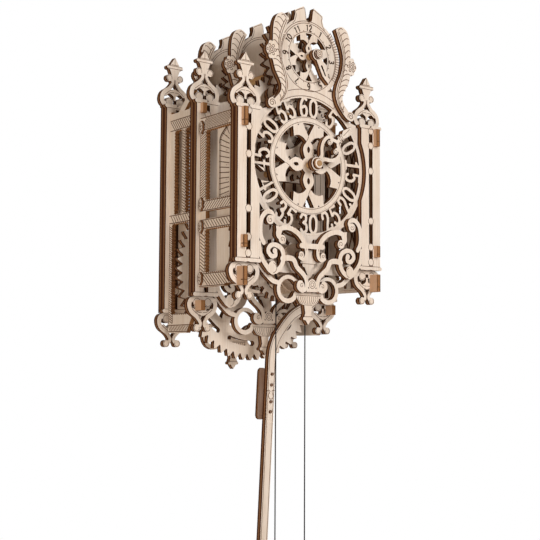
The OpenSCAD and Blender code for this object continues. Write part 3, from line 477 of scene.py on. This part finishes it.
# Stroke of each numeral, in a cell one wide and one high
DIGITS = {
    "0": bend([(0.5, 1), (0.08, 0.8), (0.0, 0.5), (0.08, 0.2), (0.5, 0), (0.92, 0.2), (1, 0.5), (0.92, 0.8),
               (0.5, 1)]),
    "1": np.array([(0.12, 0.78), (0.55, 1.0), (0.55, 0.0)]),
    "2": np.vstack([bend([(0.05, 0.74), (0.25, 0.97), (0.8, 0.93), (0.86, 0.64), (0.4, 0.3), (0.02, 0.02)]),
                    [(1, 0.02)]]),
    "3": bend([(0.08, 0.84), (0.4, 1), (0.86, 0.86), (0.75, 0.6), (0.42, 0.54), (0.92, 0.4), (0.86, 0.1), (0.4, 0),
               (0.06, 0.16)]),
    "4": np.array([(0.74, 0), (0.74, 1), (0.0, 0.32), (1, 0.32)]),
    "5": np.vstack([[(0.92, 1), (0.16, 1)],
                    bend([(0.12, 0.56), (0.55, 0.66), (0.95, 0.42), (0.84, 0.08), (0.4, 0), (0.08, 0.14)])]),
    "6": bend([(0.85, 0.94), (0.5, 1), (0.1, 0.7), (0.06, 0.3), (0.3, 0.02), (0.75, 0.03), (0.96, 0.3), (0.7, 0.55),
               (0.14, 0.44)]),
    "7": np.array([(0.0, 1), (1, 1), (0.35, 0)]),
    "8": bend([(0.5, 0.54), (0.1, 0.75), (0.5, 1), (0.9, 0.75), (0.5, 0.54), (0.02, 0.26), (0.5, 0), (0.98, 0.26),
               (0.5, 0.54)]),
    "9": bend([(0.15, 0.06), (0.5, 0), (0.9, 0.3), (0.94, 0.7), (0.7, 0.98), (0.25, 0.97), (0.04, 0.7), (0.3, 0.45),
               (0.86, 0.56)]),
}


def numeral(text, centre, angle, height):
    """Strokes of a number set upright on a dial's radius: scaled, turned by the angle and moved to its place."""
    wide, gap = height * 0.5, height * 0.17
    lines = []
    for k, digit in enumerate(text):
        left = (k - (len(text) - 1) / 2) * (wide + gap) - wide / 2
        lines.append(turned(DIGITS[digit] * (wide, height) + (left, -height / 2), angle) + centre)
    return lines


# ---- operators ----------------------------------------------------------------

class CLOCK_OT_cords(bpy.types.Operator):
    """Lays the two taut cords from beside the drum down to their weights."""
    bl_idname = "clock.cords"
    bl_label = "Cords"

    def execute(self, context):
        finish = braided_cord("Braided Cord", tuple(context.scene.clock_wood.cord))
        for node, (top, bottom) in CORD_ROUTES.items():
            route, corners = np.linspace(top, bottom, 96), 12
            points, faces = tube(route, CORD_RADIUS, corners)
            made = piece_of(node + "_braid", points, faces, finish, None, smooth=True)
            loop_points = np.empty(len(made.data.loops), int)
            made.data.loops.foreach_get("vertex_index", loop_points)
            uv = np.column_stack([(loop_points % corners) / corners, points[loop_points, 2]])
            made.data.uv_layers.new(name="Braid").data.foreach_set("uv", uv.ravel())
            close_skin(made)
            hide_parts(node)
            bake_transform(made)
        return {"FINISHED"}


# Sheets lie square to Y and plates square to X. All else is turned
SHEETS = ("front_panel front_column_trim front_scrollwork front_wings minute_ring dial_cross hour_dial mid_panel "
          "mid_column_trim mid_scrollwork mid_wings back_panel back_column_trim back_wings drum_bridge "
          "escapement_bridge great_wheel ratchet_wheel click_plate click centre_wheel centre_pinion cannon_pinion "
          "minute_hand third_wheel third_pinion fourth_wheel fourth_pinion escape_wheel escape_pinion motion_wheel "
          "motion_pinion hour_wheel hour_hand anchor pendulum_rod rod_splint bob").split()
PLATES = ("left_front_side left_rear_side right_front_side right_rear_side left_fluted_board right_fluted_board "
          "crown_braces").split()


class CLOCK_OT_woods(bpy.types.Operator):
    """Gives every sheet, dowel and turning its wood."""
    bl_idname = "clock.woods"
    bl_label = "Woods"

    def execute(self, context):
        wood = context.scene.clock_wood
        for k, name in enumerate(SHEETS):
            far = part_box(name)[1]
            # The rod splint lies in the rod's shadow: its face gets the engraving colour as painted shade
            front_colour = (0.0, tuple(wood.mark)) if name == "rod_splint" else None
            finish = plywood("Birch " + name, wood, "Y", far[1] * 1000, shift=k * 7.3, front_colour=front_colour)
            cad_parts[name].data.materials[0] = finish
        for k, name in enumerate(PLATES):
            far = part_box(name)[1]
            # A side plate takes the tab colour in front of the panel face that its tabs pass through
            slot_face = {"front_side": FRONT_BASE, "rear_side": MID_BASE}.get(name.split("_", 1)[1])
            front_colour = (slot_face, tuple(wood.tab_side)) if slot_face else None
            finish = plywood("Birch " + name, wood, "X", far[0] * 1000, 3.0, tuple(wood.tab_edge), 300 + k * 7.3,
                             front_colour)
            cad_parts[name].data.materials[0] = finish
        for name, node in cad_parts.items():
            if name in SHEETS or name in PLATES:
                continue
            hangs = name in ("weight", "counterweight")
            colour = tuple(wood.grain) if name == "drum" or hangs else tuple(wood.dowel)
            node.data.materials[0] = turned_wood("Turned " + name, wood, colour, "Z" if hangs else "Y")
        MARKS["line"] = engraved_mark("Engraved Line", tuple(wood.mark))
        MARKS["numeral"] = engraved_mark("Engraved Numeral", tuple(c * 0.45 for c in wood.mark))
        return {"FINISHED"}


# Edges of the right wing, each from the crown down, in mm
WING_IN = bend([(19.6, 61), (21.4, 57), (24.6, 49), (26, 42), (24.6, 33), (20.8, 24.5), (19.6, 17), (22.5, 10),
                (28, 4)], 10)
WING_OUT = bend([(24.5, 63.8), (29, 61.8), (31.6, 56.5), (32.3, 50), (32.5, 44), (32.6, 38.5), (32, 31), (30.3, 26),
                 (27.5, 21.5), (25.4, 17), (26.4, 12.5), (29.5, 9)], 10)


def resample(line, count):
    """The line with evenly spaced points, by its running length."""
    run = np.concatenate([[0], np.cumsum(np.linalg.norm(np.diff(line, axis=0), axis=1))])
    at = np.linspace(0, run[-1], count)
    return np.column_stack([np.interp(at, run, line[:, k]) for k in (0, 1)])


def wing_lines(count):
    """Both wings: feathers start + (end - start) q + 5.2 q(1 - q) (0.25, 1), spine lines, a flower and a curl."""
    inner, outer = resample(WING_IN, 200), resample(WING_OUT, 200)
    q = np.linspace(0, 1, 9)[:, None]
    lines = []
    for k in np.linspace(4, 186, count).astype(int):
        a, b = inner[k], outer[k]
        if abs(k - 92) < 13:                # the feathers that the flower covers are shorter
            b = a + (b - a) * 0.62
        start, end = a + (b - a) * 0.3, a + (b - a) * 0.95 - (0, 1.3)
        lines.append(start + (end - start) * q + np.array([0.25, 1.0]) * 5.2 * q * (1 - q))
    for share in (0.12, 0.27):
        lines.append((inner + (outer - inner) * share)[6:-8])
    flower = (33.4, 38.5)
    for radius in (1.0, 2.1):
        lines.append(arc(flower, radius, 0, 360, 24))
    for angle in range(0, 360, 60):
        lines.append(arc(around(flower, angle, (2.9,))[0], 0.8, angle - 110, angle + 110, 8))
    lines.append(whorl((32.6, 5.0), 0.4, 2.5, 0, 560, 40))
    return mirrored(lines)


class CLOCK_OT_dial_engraving(bpy.types.Operator):
    """Engraves the small dial, the crown and the feathered wings."""
    bl_idname = "clock.dial_engraving"
    bl_label = "Dial Engraving"

    def execute(self, context):
        sizes = context.scene.clock_engraving
        line, tall = sizes.line / MM, sizes.numeral / MM
        marks, reach, bold = [], 19.3, 0.88
        for hour in range(1, 13):
            marks += numeral(str(hour), around(HOUR, 90 - 30 * hour, (reach,))[0], -30 * hour, tall)
        engrave("hour_numerals", marks, FRONT_BASE, width=bold, finish=MARKS["numeral"])
        rings = [arc(HOUR, r, 0, 360, 72) for r in (16.6, 22.3)]
        ticks = [around(HOUR, a, (16.9, 17.7)) for a in range(15, 360, 30)]
        prong = bend([(3.4, 71.6), (4.6, 71.8), (10.9, 68.7), (10.5, 66.2), (11.5, 62.6), (13.4, 60.2)], 4)
        crown = mirrored([prong, bend([(3.4, 71.6), (2.6, 67), (2.2, 64.6), (0, 63)], 4)])
        crown += [arc(HOUR, 23.6, 32, 148, 40), arc(HOUR, 24.6, 150, 210, 30), arc(HOUR, 23.0, 150, 210, 30)]
        crown += [arc(CENTRE, r, 62, 118, 40) for r in (44.9, 49.2)]
        crown += mirrored([around(CENTRE, 62, (44.9, 49.2))])
        pleats = [around(HOUR, a, (22.7, 26.3)) for a in range(-30, 50, 4)]
        pleats += [arc(HOUR, r, -32, 48, 30) for r in (22.9, 26.4)]
        beads = [around(HOUR, a, (23.0, 24.6)) for a in range(152, 210, 3)]
        engrave("crown_engraving", rings + ticks + crown + pleats + beads, FRONT_BASE, width=line * 1.2)
        weave = []
        for centre, scale in ((CENTRE, 1.0), (HOUR, 15.68 / 27.4)):
            for a in range(0, 360, 90):
                arm = bend([(0, 18.8), (-0.9, 16.8), (-3.2, 13.4)], 4) * scale
                weave.append(turned(arm, a) + centre)
        weave += [arc(CENTRE, r, 0, 360, 90) for r in (28.2, 31.2)]
        engrave("dial_engraving", weave, FRONT_BASE, width=line)
        hand = [arc((0, 0), 3.3, 0, 360, 30), *(level(z, -2.4, 2.4) for z in (26.2, 27.4, 28.8)),
                upright(0, 30.4, 37.6)]
        hand += [arc((s * 3.7, 17.8), 1.1, 0, 360, 12) for s in (-1, 1)]
        engrave("minute_hand_engraving", [turned(h, -47) + CENTRE for h in hand], HAND_FACE, width=line,
                body="centre")
        for name, _, trim, *_ in LAYERS:
            engrave(name + "_feathers", wing_lines(sizes.feathers), trim, width=line * 1.5)
        for name, base, *_ in LAYERS[1:]:
            engrave(name + "_crown_engraving", rings[1:] + crown, base, width=line)
        return {"FINISHED"}


def rope_bar(y0, y1, z0, z1, pitch, lean):
    """Slanting hatch across a bar, with a line along both long edges: lines of one slope cut to the bar's box."""
    tall = z1 - z0 > y1 - y0
    long0, long1, short0, short1 = (z0, z1, y0, y1) if tall else (y0, y1, z0, z1)
    shift = (short1 - short0) * lean
    starts = np.arange(long0 - min(shift, 0), long1 - max(shift, 0), pitch)
    lines = [np.array([(s, short0 + 0.5), (s + shift, short1 - 0.5)]) for s in starts]
    lines += [level(short, long0, long1) for short in (short0, short1)]
    return [line[:, ::-1] for line in lines] if tall else lines


class CLOCK_OT_case_engraving(bpy.types.Operator):
    """Engraves the urns, scroll eyes and columns of the case, and its side plates, fluted boards and tabs."""
    bl_idname = "clock.case_engraving"
    bl_label = "Case Engraving"

    def execute(self, context):
        sizes = context.scene.clock_engraving
        line, pitch = sizes.line / MM, sizes.rope_pitch / MM
        for name, base, trim, cap, ring, _ in LAYERS:
            urn = [bend([(x, ring - 19.4), (x * 1.02 + 0.1, ring - 21.4), (x * 0.72, ring - 24.2)], 4)
                   for x in np.arange(0.9, 9.6, 1.7)]
            urn += [level(ring + z, 0, x) for z, x in ((-18.9, 10.2), (-24.8, 3.2), (-32.2, 3.4), (1.4, 6.2))]
            heart = [bend([(1.0, 12.6), (4, 11.4), (7.6, 8.6)], 5), bend([(0.4, 10.6), (3.4, 10.2), (6.8, 7.6)], 5),
                     arc((4.2, 4), 2.5, -150, 150, 16), arc((4.2, 20.5), 1.9, -60, 200, 14),
                     bend([(0.5, 19.4), (0.3, 16.6), (2.6, 13.6)], 5)]
            heart = mirrored(heart)
            column = [h + (COLUMN_X, cap) for h in heart] + [h * (1, -1) + (COLUMN_X, ring) for h in heart]
            column += [level(cap + z, COLUMN_X - 6, COLUMN_X + 6) for z in (27.0, 28.9)]
            column += [level(cap + 29.6, COLUMN_X - 2.9, COLUMN_X + 2.9), upright(COLUMN_X, cap + 34, cap + 29.8)]
            engrave(name + "_base_engraving", mirrored(urn + column), base, width=line)
            if name == "back":
                continue
            eyes = [whorl((x, ring + z), 0.3, r, a, a + 400) for x, z, r, a in
                    ((33.7, 26.8, 1.9, 0), (24.2, 15.2, 1.9, 180), (8.5, -12.9, 1.5, 90), (8.9, 6.6, 1.3, 0))]
            eyes += [arc((31.7, ring - 2.9), 3.1, 100, 260, 16), upright(5.0, ring + 10.7, ring + 9.4)]
            boss = [arc((0, ring - 12), r, 0, 360, 24) for r in (1.2, 2.4)]
            engrave(name + "_scroll_engraving", mirrored(eyes) + boss, trim, width=line)
        for name, _, trim, cap, ring, beads in LAYERS:
            column = [arc((COLUMN_X, z), 2.25, 0, 360, 24) for z in beads]
            column += [level(z, COLUMN_X - 8.1, COLUMN_X + 8.1) for z in (cap - 1.1, ring + 2.2)]
            engrave(name + "_column_engraving", mirrored(column), trim, width=line)

        inset = 0.3
        for name, bars in (("front", FRONT_BARS), ("rear", REAR_BARS)):
            hatch = []
            for y0, y1, z0, z1, share, lean in bars:
                hatch += rope_bar(y0 + inset, y1 - inset, z0 + inset, z1 - inset, pitch * share, lean)
            for side, mirror in SIDES:
                engrave(f"{side}_{name}_rope", hatch, mirror * SIDE_OUT, "X", line * 1.75)
        spine = bend([(-76, -5.2), (-70.6, -8.7), (-66.6, -11.7), (-63.4, -14.4), (-62.0, -18), (-61.8, -30),
                      (-61.8, -54.4)])
        feather = [spine, (spine - sides(spine) * 1.2)[3:]]
        for z in np.arange(-9.5, -54.0, -3.55):
            back = -70.6 + 8.7 * min(1.0, max(0.0, (-8.7 - z) / 8.6)) ** 0.7
            feather.append(np.array([(back, z), (-72.6, z - np.interp(z, (-53.5, -42, -9.5), (-1.6, 0.6, 5.4)))]))
        for side, mirror in SIDES:
            engrave(f"{side}_board_feather", feather, mirror * BOARD_OUT, "X", line * 1.6)
            engrave(f"{side}_board_rim", [spine[:-11]], mirror * BOARD_OUT, "X", line * 3.4)

        cuts = [bottom + 0.28 * (top - bottom) for bottom, top in FRONT_TABS]
        tabs = [upright(TAB_FACE + 0.4, bottom + 0.3, top - 0.3) for bottom, top in FRONT_TABS]
        tabs += [level(z, TAB_FACE + 0.2, FRONT_TRIM - 0.3) for z in cuts]
        for side, mirror in SIDES:
            engrave(f"{side}_tab_marks", tabs, mirror * SIDE_OUT, "X", line * 1.8)
        inner, outer = BOARD_OUT + 0.2, SIDE_OUT - 0.2
        ends = [level(z, inner, outer) for z in cuts]
        ends += [upright(x, bottom + 0.2, top - 0.2) for bottom, top in FRONT_TABS for x in (inner, outer)]
        engrave("front_tab_ends", mirrored(ends), TAB_FACE, width=line * 1.5)
        z = np.linspace(-107.0, -8.0, 160)
        ribs = [np.column_stack([y + 1.1 * np.sin(2 * np.pi * z / 17.0 + y), z])
                for y in np.arange(-79.6, -61.0, 3.4)]
        for side, mirror in SIDES:
            engrave(f"{side}_board_ribs", ribs, mirror * BOARD_IN, "X", 1.3, inward=True)
        return {"FINISHED"}


class CLOCK_OT_corner_leaves(bpy.types.Operator):
    """Adds the small leaves where the bars of the front side plates meet the middle panel."""
    bl_idname = "clock.corner_leaves"
    bl_label = "Corner Leaves"

    def execute(self, context):
        wood = context.scene.clock_wood
        finish = plywood("Birch corner leaf", wood, "X", SIDE_OUT, 2.0, None, 77.0)
        angle = np.linspace(0, 2 * np.pi, 72, endpoint=False)
        radius = 3.3 + 0.35 * np.cos(6 * angle) + 0.5 * np.cos(2 * angle)
        outline = np.column_stack([0.72 * radius * np.sin(angle), 1.05 * radius * np.cos(angle)])
        rim = np.vstack([outline, outline[:1]]) * 0.9
        strokes = [rim, bend([(0, 2.6), (0.6, 0), (-0.2, -2.4)])]
        strokes += [np.array([(0.2, h - 0.6), (0.2 + w, h + 0.5)]) for h in (-1.2, 0.8) for w in (-1.4, 1.2)]
        for side, mirror in SIDES:
            points, faces, veins = [], [], []
            for k, place in enumerate(LEAF_PLACES):
                p, f = slab(outline + place, mirror * SIDE_OUT, mirror * LEAF_FACE)
                points.append(p)
                faces += [[c + k * len(p) for c in corners] for corners in f]
                veins += [stroke + place for stroke in strokes]
            close_skin(piece_of(side + "_corner_leaves", np.vstack(points) * MM, faces, finish, "frame"))
            engrave(side + "_leaf_veins", veins, mirror * LEAF_FACE, "X", 0.45)
        return {"FINISHED"}


def on_rod(z):
    """Point on the middle line of the straight rod: x = x0 + (z - z0) tan(lean)."""
    return np.array([ROD_TOP[0] + (z - ROD_TOP[1]) * ROD_LEAN, z])


class CLOCK_OT_pendulum_engraving(bpy.types.Operator):
    """Engraves the lines along the pendulum rod and the rosette on its bob."""
    bl_idname = "clock.pendulum_engraving"
    bl_label = "Pendulum Engraving"

    def execute(self, context):
        line = context.scene.clock_engraving.line / MM
        bow = bend([(0, 22.4), (13, 22), (25.5, 15), (34, 0.5), (37.2, -25), (37.6, -60), (37.5, -95), (37, -108),
                    (33, -116.4), (26.2, -120.2), (15, -126.6), (4.1, -138.8), (0, -147.6), ROD_TOP], 8)
        whole = np.vstack([bow[8:], *(on_rod(z) for z in (-178.0, -230.0, -300.0, -384.0))])
        out = sides(whole) * 2.3
        knob = bend([(-3.2, 0.6), (-1.5, 0.9), (-0.8, -0.2), (-1.9, -2.2), (-1.4, -4.2), (0.4, -4.8), (1.9, -3.8),
                     (1.9, -2.0), (1.0, -0.4), (1.6, 0.9), (3.2, 0.6)])
        lines = [whole + out, whole - out, knob + on_rod(-176.0)]
        engrave("rod_lines", lines, ROD_FACE, width=line * 1.2, body="pendulum")
        bob = on_rod(-407.6)
        petals = []
        for a in np.radians(np.arange(0, 360, 30)):
            ray, side = np.array([np.cos(a), np.sin(a)]), np.array([-np.sin(a), np.cos(a)])
            petals += [bob + bend([ray * 3.4, ray * 8 + side * s * 2.0, ray * 12.6], 5) for s in (-1, 1)]
        petals += [arc(bob, r, 0, 360, 60) for r in (2.6, 13.2)]
        engrave("bob_rosette", petals, ROD_FACE, width=line * 1.3, body="pendulum")
        return {"FINISHED"}


class CLOCK_OT_fittings(bpy.types.Operator):
    """Adds the cord wound on the drum and the collars on the two arbors that carry the hands."""
    bl_idname = "clock.fittings"
    bl_label = "Fittings"

    def execute(self, context):
        wood = context.scene.clock_wood
        cord = turned_wood("Wound Cord", wood, tuple(wood.cord))
        turns, pitch, steps, middle, reach = 6, 1.05, 30, -67.5, 11.95
        t = np.arange(turns * steps + 1) / steps
        angle = 2 * np.pi * t
        coil = np.column_stack([DRUM[0] + reach * np.cos(angle), middle + (t - turns / 2) * pitch,
                                DRUM[1] - HANG + reach * np.sin(angle)]) * MM
        points, faces = tube(coil, CORD_RADIUS, 8)
        close_skin(piece_of("drum_winding", points, faces, cord, "great", smooth=True))
        dark = turned_wood("Turned Collar", wood, tuple(c * 0.7 for c in wood.dowel))
        pale = plywood("Birch hour cap", wood, "Y", -95.3, 1.0, None, 55.0)
        collars = (("minute_cap", CENTRE, "centre", -97.0, -96.08, 1.9, dark),
                   ("hour_cap", HOUR, "hour", HOUR_CAP_FACE, -95.28, 2.8, pale))
        for name, place, body, front, back, radius, finish in collars:
            profile = [(0.4, front), (radius * 0.92, front), (radius, front + 0.2), (radius, back)]
            points, faces = lathe(profile, place)
            close_skin(piece_of(name, points * MM, faces, finish, body))
        rings = [arc(HOUR, r, 0, 360, 32) for r in (0.8, 1.9)]
        engrave("hour_cap_rings", rings, HOUR_CAP_FACE, width=0.4, body="hour")
        return {"FINISHED"}


class CLOCK_OT_stage(bpy.types.Operator):
    """Sets the camera at the photograph's angle, the soft lights and the pale floor."""
    bl_idname = "clock.stage"
    bl_label = "Stage"

    def execute(self, context):
        stage = context.scene.clock_stage
        yaw, pitch, roll = np.radians(CAMERA_TURN)
        ahead = Vector((np.sin(yaw) * np.cos(pitch), np.cos(yaw) * np.cos(pitch), np.sin(pitch)))
        right = Vector((np.cos(yaw), -np.sin(yaw), 0))
        up = right.cross(ahead)
        across = np.cos(roll) * right + np.sin(roll) * up
        above = -np.sin(roll) * right + np.cos(roll) * up
        lens = bpy.data.cameras.new("Camera")
        lens.lens, lens.sensor_width, lens.clip_start = stage.lens, 36.0, 0.01
        camera = bpy.data.objects.new("Camera", lens)
        camera.matrix_world = (Matrix.Translation(CAMERA_PLACE)
                               @ Matrix((across, above, -ahead)).transposed().to_4x4())
        context.scene.collection.objects.link(camera)
        context.scene.camera = camera
        aim = Vector((0, -0.04, -0.15))
        lamps = (("Key", stage.key_power, (1.0, 1.0, 1.0), (-0.05, -1.05, 0.15), 0.5),
                 ("Fill", stage.fill_power, (1.0, 0.92, 0.82), (-1.0, -0.45, -0.35), 0.6),
                 ("Back", stage.back_power, (1.0, 0.96, 0.9), (0.55, 1.0, 0.1), 0.8))
        for name, power, tint, place, size in lamps:
            light = bpy.data.lights.new(name, "AREA")
            light.energy, light.color, light.size = power, tint, size
            lamp = bpy.data.objects.new(name, light)
            lamp.location = place
            lamp.rotation_euler = (aim - Vector(place)).to_track_quat("-Z", "Y").to_euler()
            context.scene.collection.objects.link(lamp)
        world = bpy.data.worlds.new("Studio")
        context.scene.world = world
        world.use_nodes = True
        tree = world.node_tree
        tree.nodes.clear()
        path = tree.nodes.new("ShaderNodeLightPath")
        seen = Flow(tree, path.outputs["Is Camera Ray"])
        seen = seen.math("MAXIMUM", seen, Flow(tree, path.outputs["Is Glossy Ray"]) * 0.3)
        both = tree.nodes.new("ShaderNodeMixShader")
        tree.links.new(seen.socket, both.inputs[0])
        for place, colour, strength in ((1, stage.bounce, stage.sky), (2, (1.0, 1.0, 1.0), 1.0)):
            sky = tree.nodes.new("ShaderNodeBackground")
            sky.inputs["Color"].default_value = (*colour, 1.0)
            sky.inputs["Strength"].default_value = strength
            tree.links.new(sky.outputs[0], both.inputs[place])
        out = tree.nodes.new("ShaderNodeOutputWorld")
        tree.links.new(both.outputs[0], out.inputs["Surface"])
        paint = Finish("Floor", 0.9)
        x, y, _ = paint.axes()
        paint.give("Base Color", paint.blend(paint.noise(x * 0.02, y * 0.02, 0.0).rise(0.3, 0.7) * 0.03,
                                             (0.9, 0.9, 0.9), (0.84, 0.84, 0.84)))
        seen = paint.node("LightPath", output="Is Camera Ray")
        paint.give("Emission Color", paint.blend(seen, (0.0, 0.0, 0.0), (0.36, 0.36, 0.36)))
        paint.shader.inputs["Emission Strength"].default_value = 1.0
        mesh = bpy.data.meshes.new("Floor")
        size, drop = 0.8, stage.floor_drop
        corners = [(x * size, y * size, drop) for x, y in ((-1, -1), (1, -1), (1, 1), (-1, 1))]
        mesh.from_pydata(corners, [], [(0, 1, 2, 3)])
        mesh.materials.append(paint.material)
        floor = bpy.data.objects.new("Floor", mesh)
        context.scene.collection.objects.link(floor)
        context.scene.view_settings.view_transform = "Standard"
        return {"FINISHED"}


class CLOCK_PT_panel(bpy.types.Panel):
    """Lists the clock's settings and its operators."""
    bl_idname = "CLOCK_PT_panel"
    bl_label = "Wooden Gear Clock"
    bl_space_type = "VIEW_3D"
    bl_region_type = "UI"
    bl_category = "Clock"

    def draw(self, context):
        scene = context.scene
        for group in (scene.clock_wood, scene.clock_engraving, scene.clock_stage):
            box = self.layout.box()
            for name in group.__annotations__:
                box.prop(group, name)
        for operator in OPERATORS:
            self.layout.operator(operator.bl_idname)


GROUPS = (("clock_wood", ClockWood), ("clock_engraving", ClockEngraving), ("clock_stage", ClockStage))
OPERATORS = (CLOCK_OT_stage, CLOCK_OT_cords, CLOCK_OT_woods, CLOCK_OT_dial_engraving, CLOCK_OT_case_engraving,
             CLOCK_OT_corner_leaves, CLOCK_OT_pendulum_engraving, CLOCK_OT_fittings)


def register():
    for name, group in GROUPS:
        bpy.utils.register_class(group)
        setattr(bpy.types.Scene, name, PointerProperty(type=group))
    for operator in OPERATORS:
        bpy.utils.register_class(operator)
    bpy.utils.register_class(CLOCK_PT_panel)


def unregister():
    bpy.utils.unregister_class(CLOCK_PT_panel)
    for operator in reversed(OPERATORS):
        bpy.utils.unregister_class(operator)
    for name, group in reversed(GROUPS):
        delattr(bpy.types.Scene, name)
        bpy.utils.unregister_class(group)


def main():
    register()
    bpy.ops.clock.stage()
    bpy.ops.clock.cords()
    bpy.ops.clock.woods()
    bpy.ops.clock.dial_engraving()
    bpy.ops.clock.case_engraving()
    bpy.ops.clock.corner_leaves()
    bpy.ops.clock.pendulum_engraving()
    bpy.ops.clock.fittings()


if __name__ == "__main__":
    main()
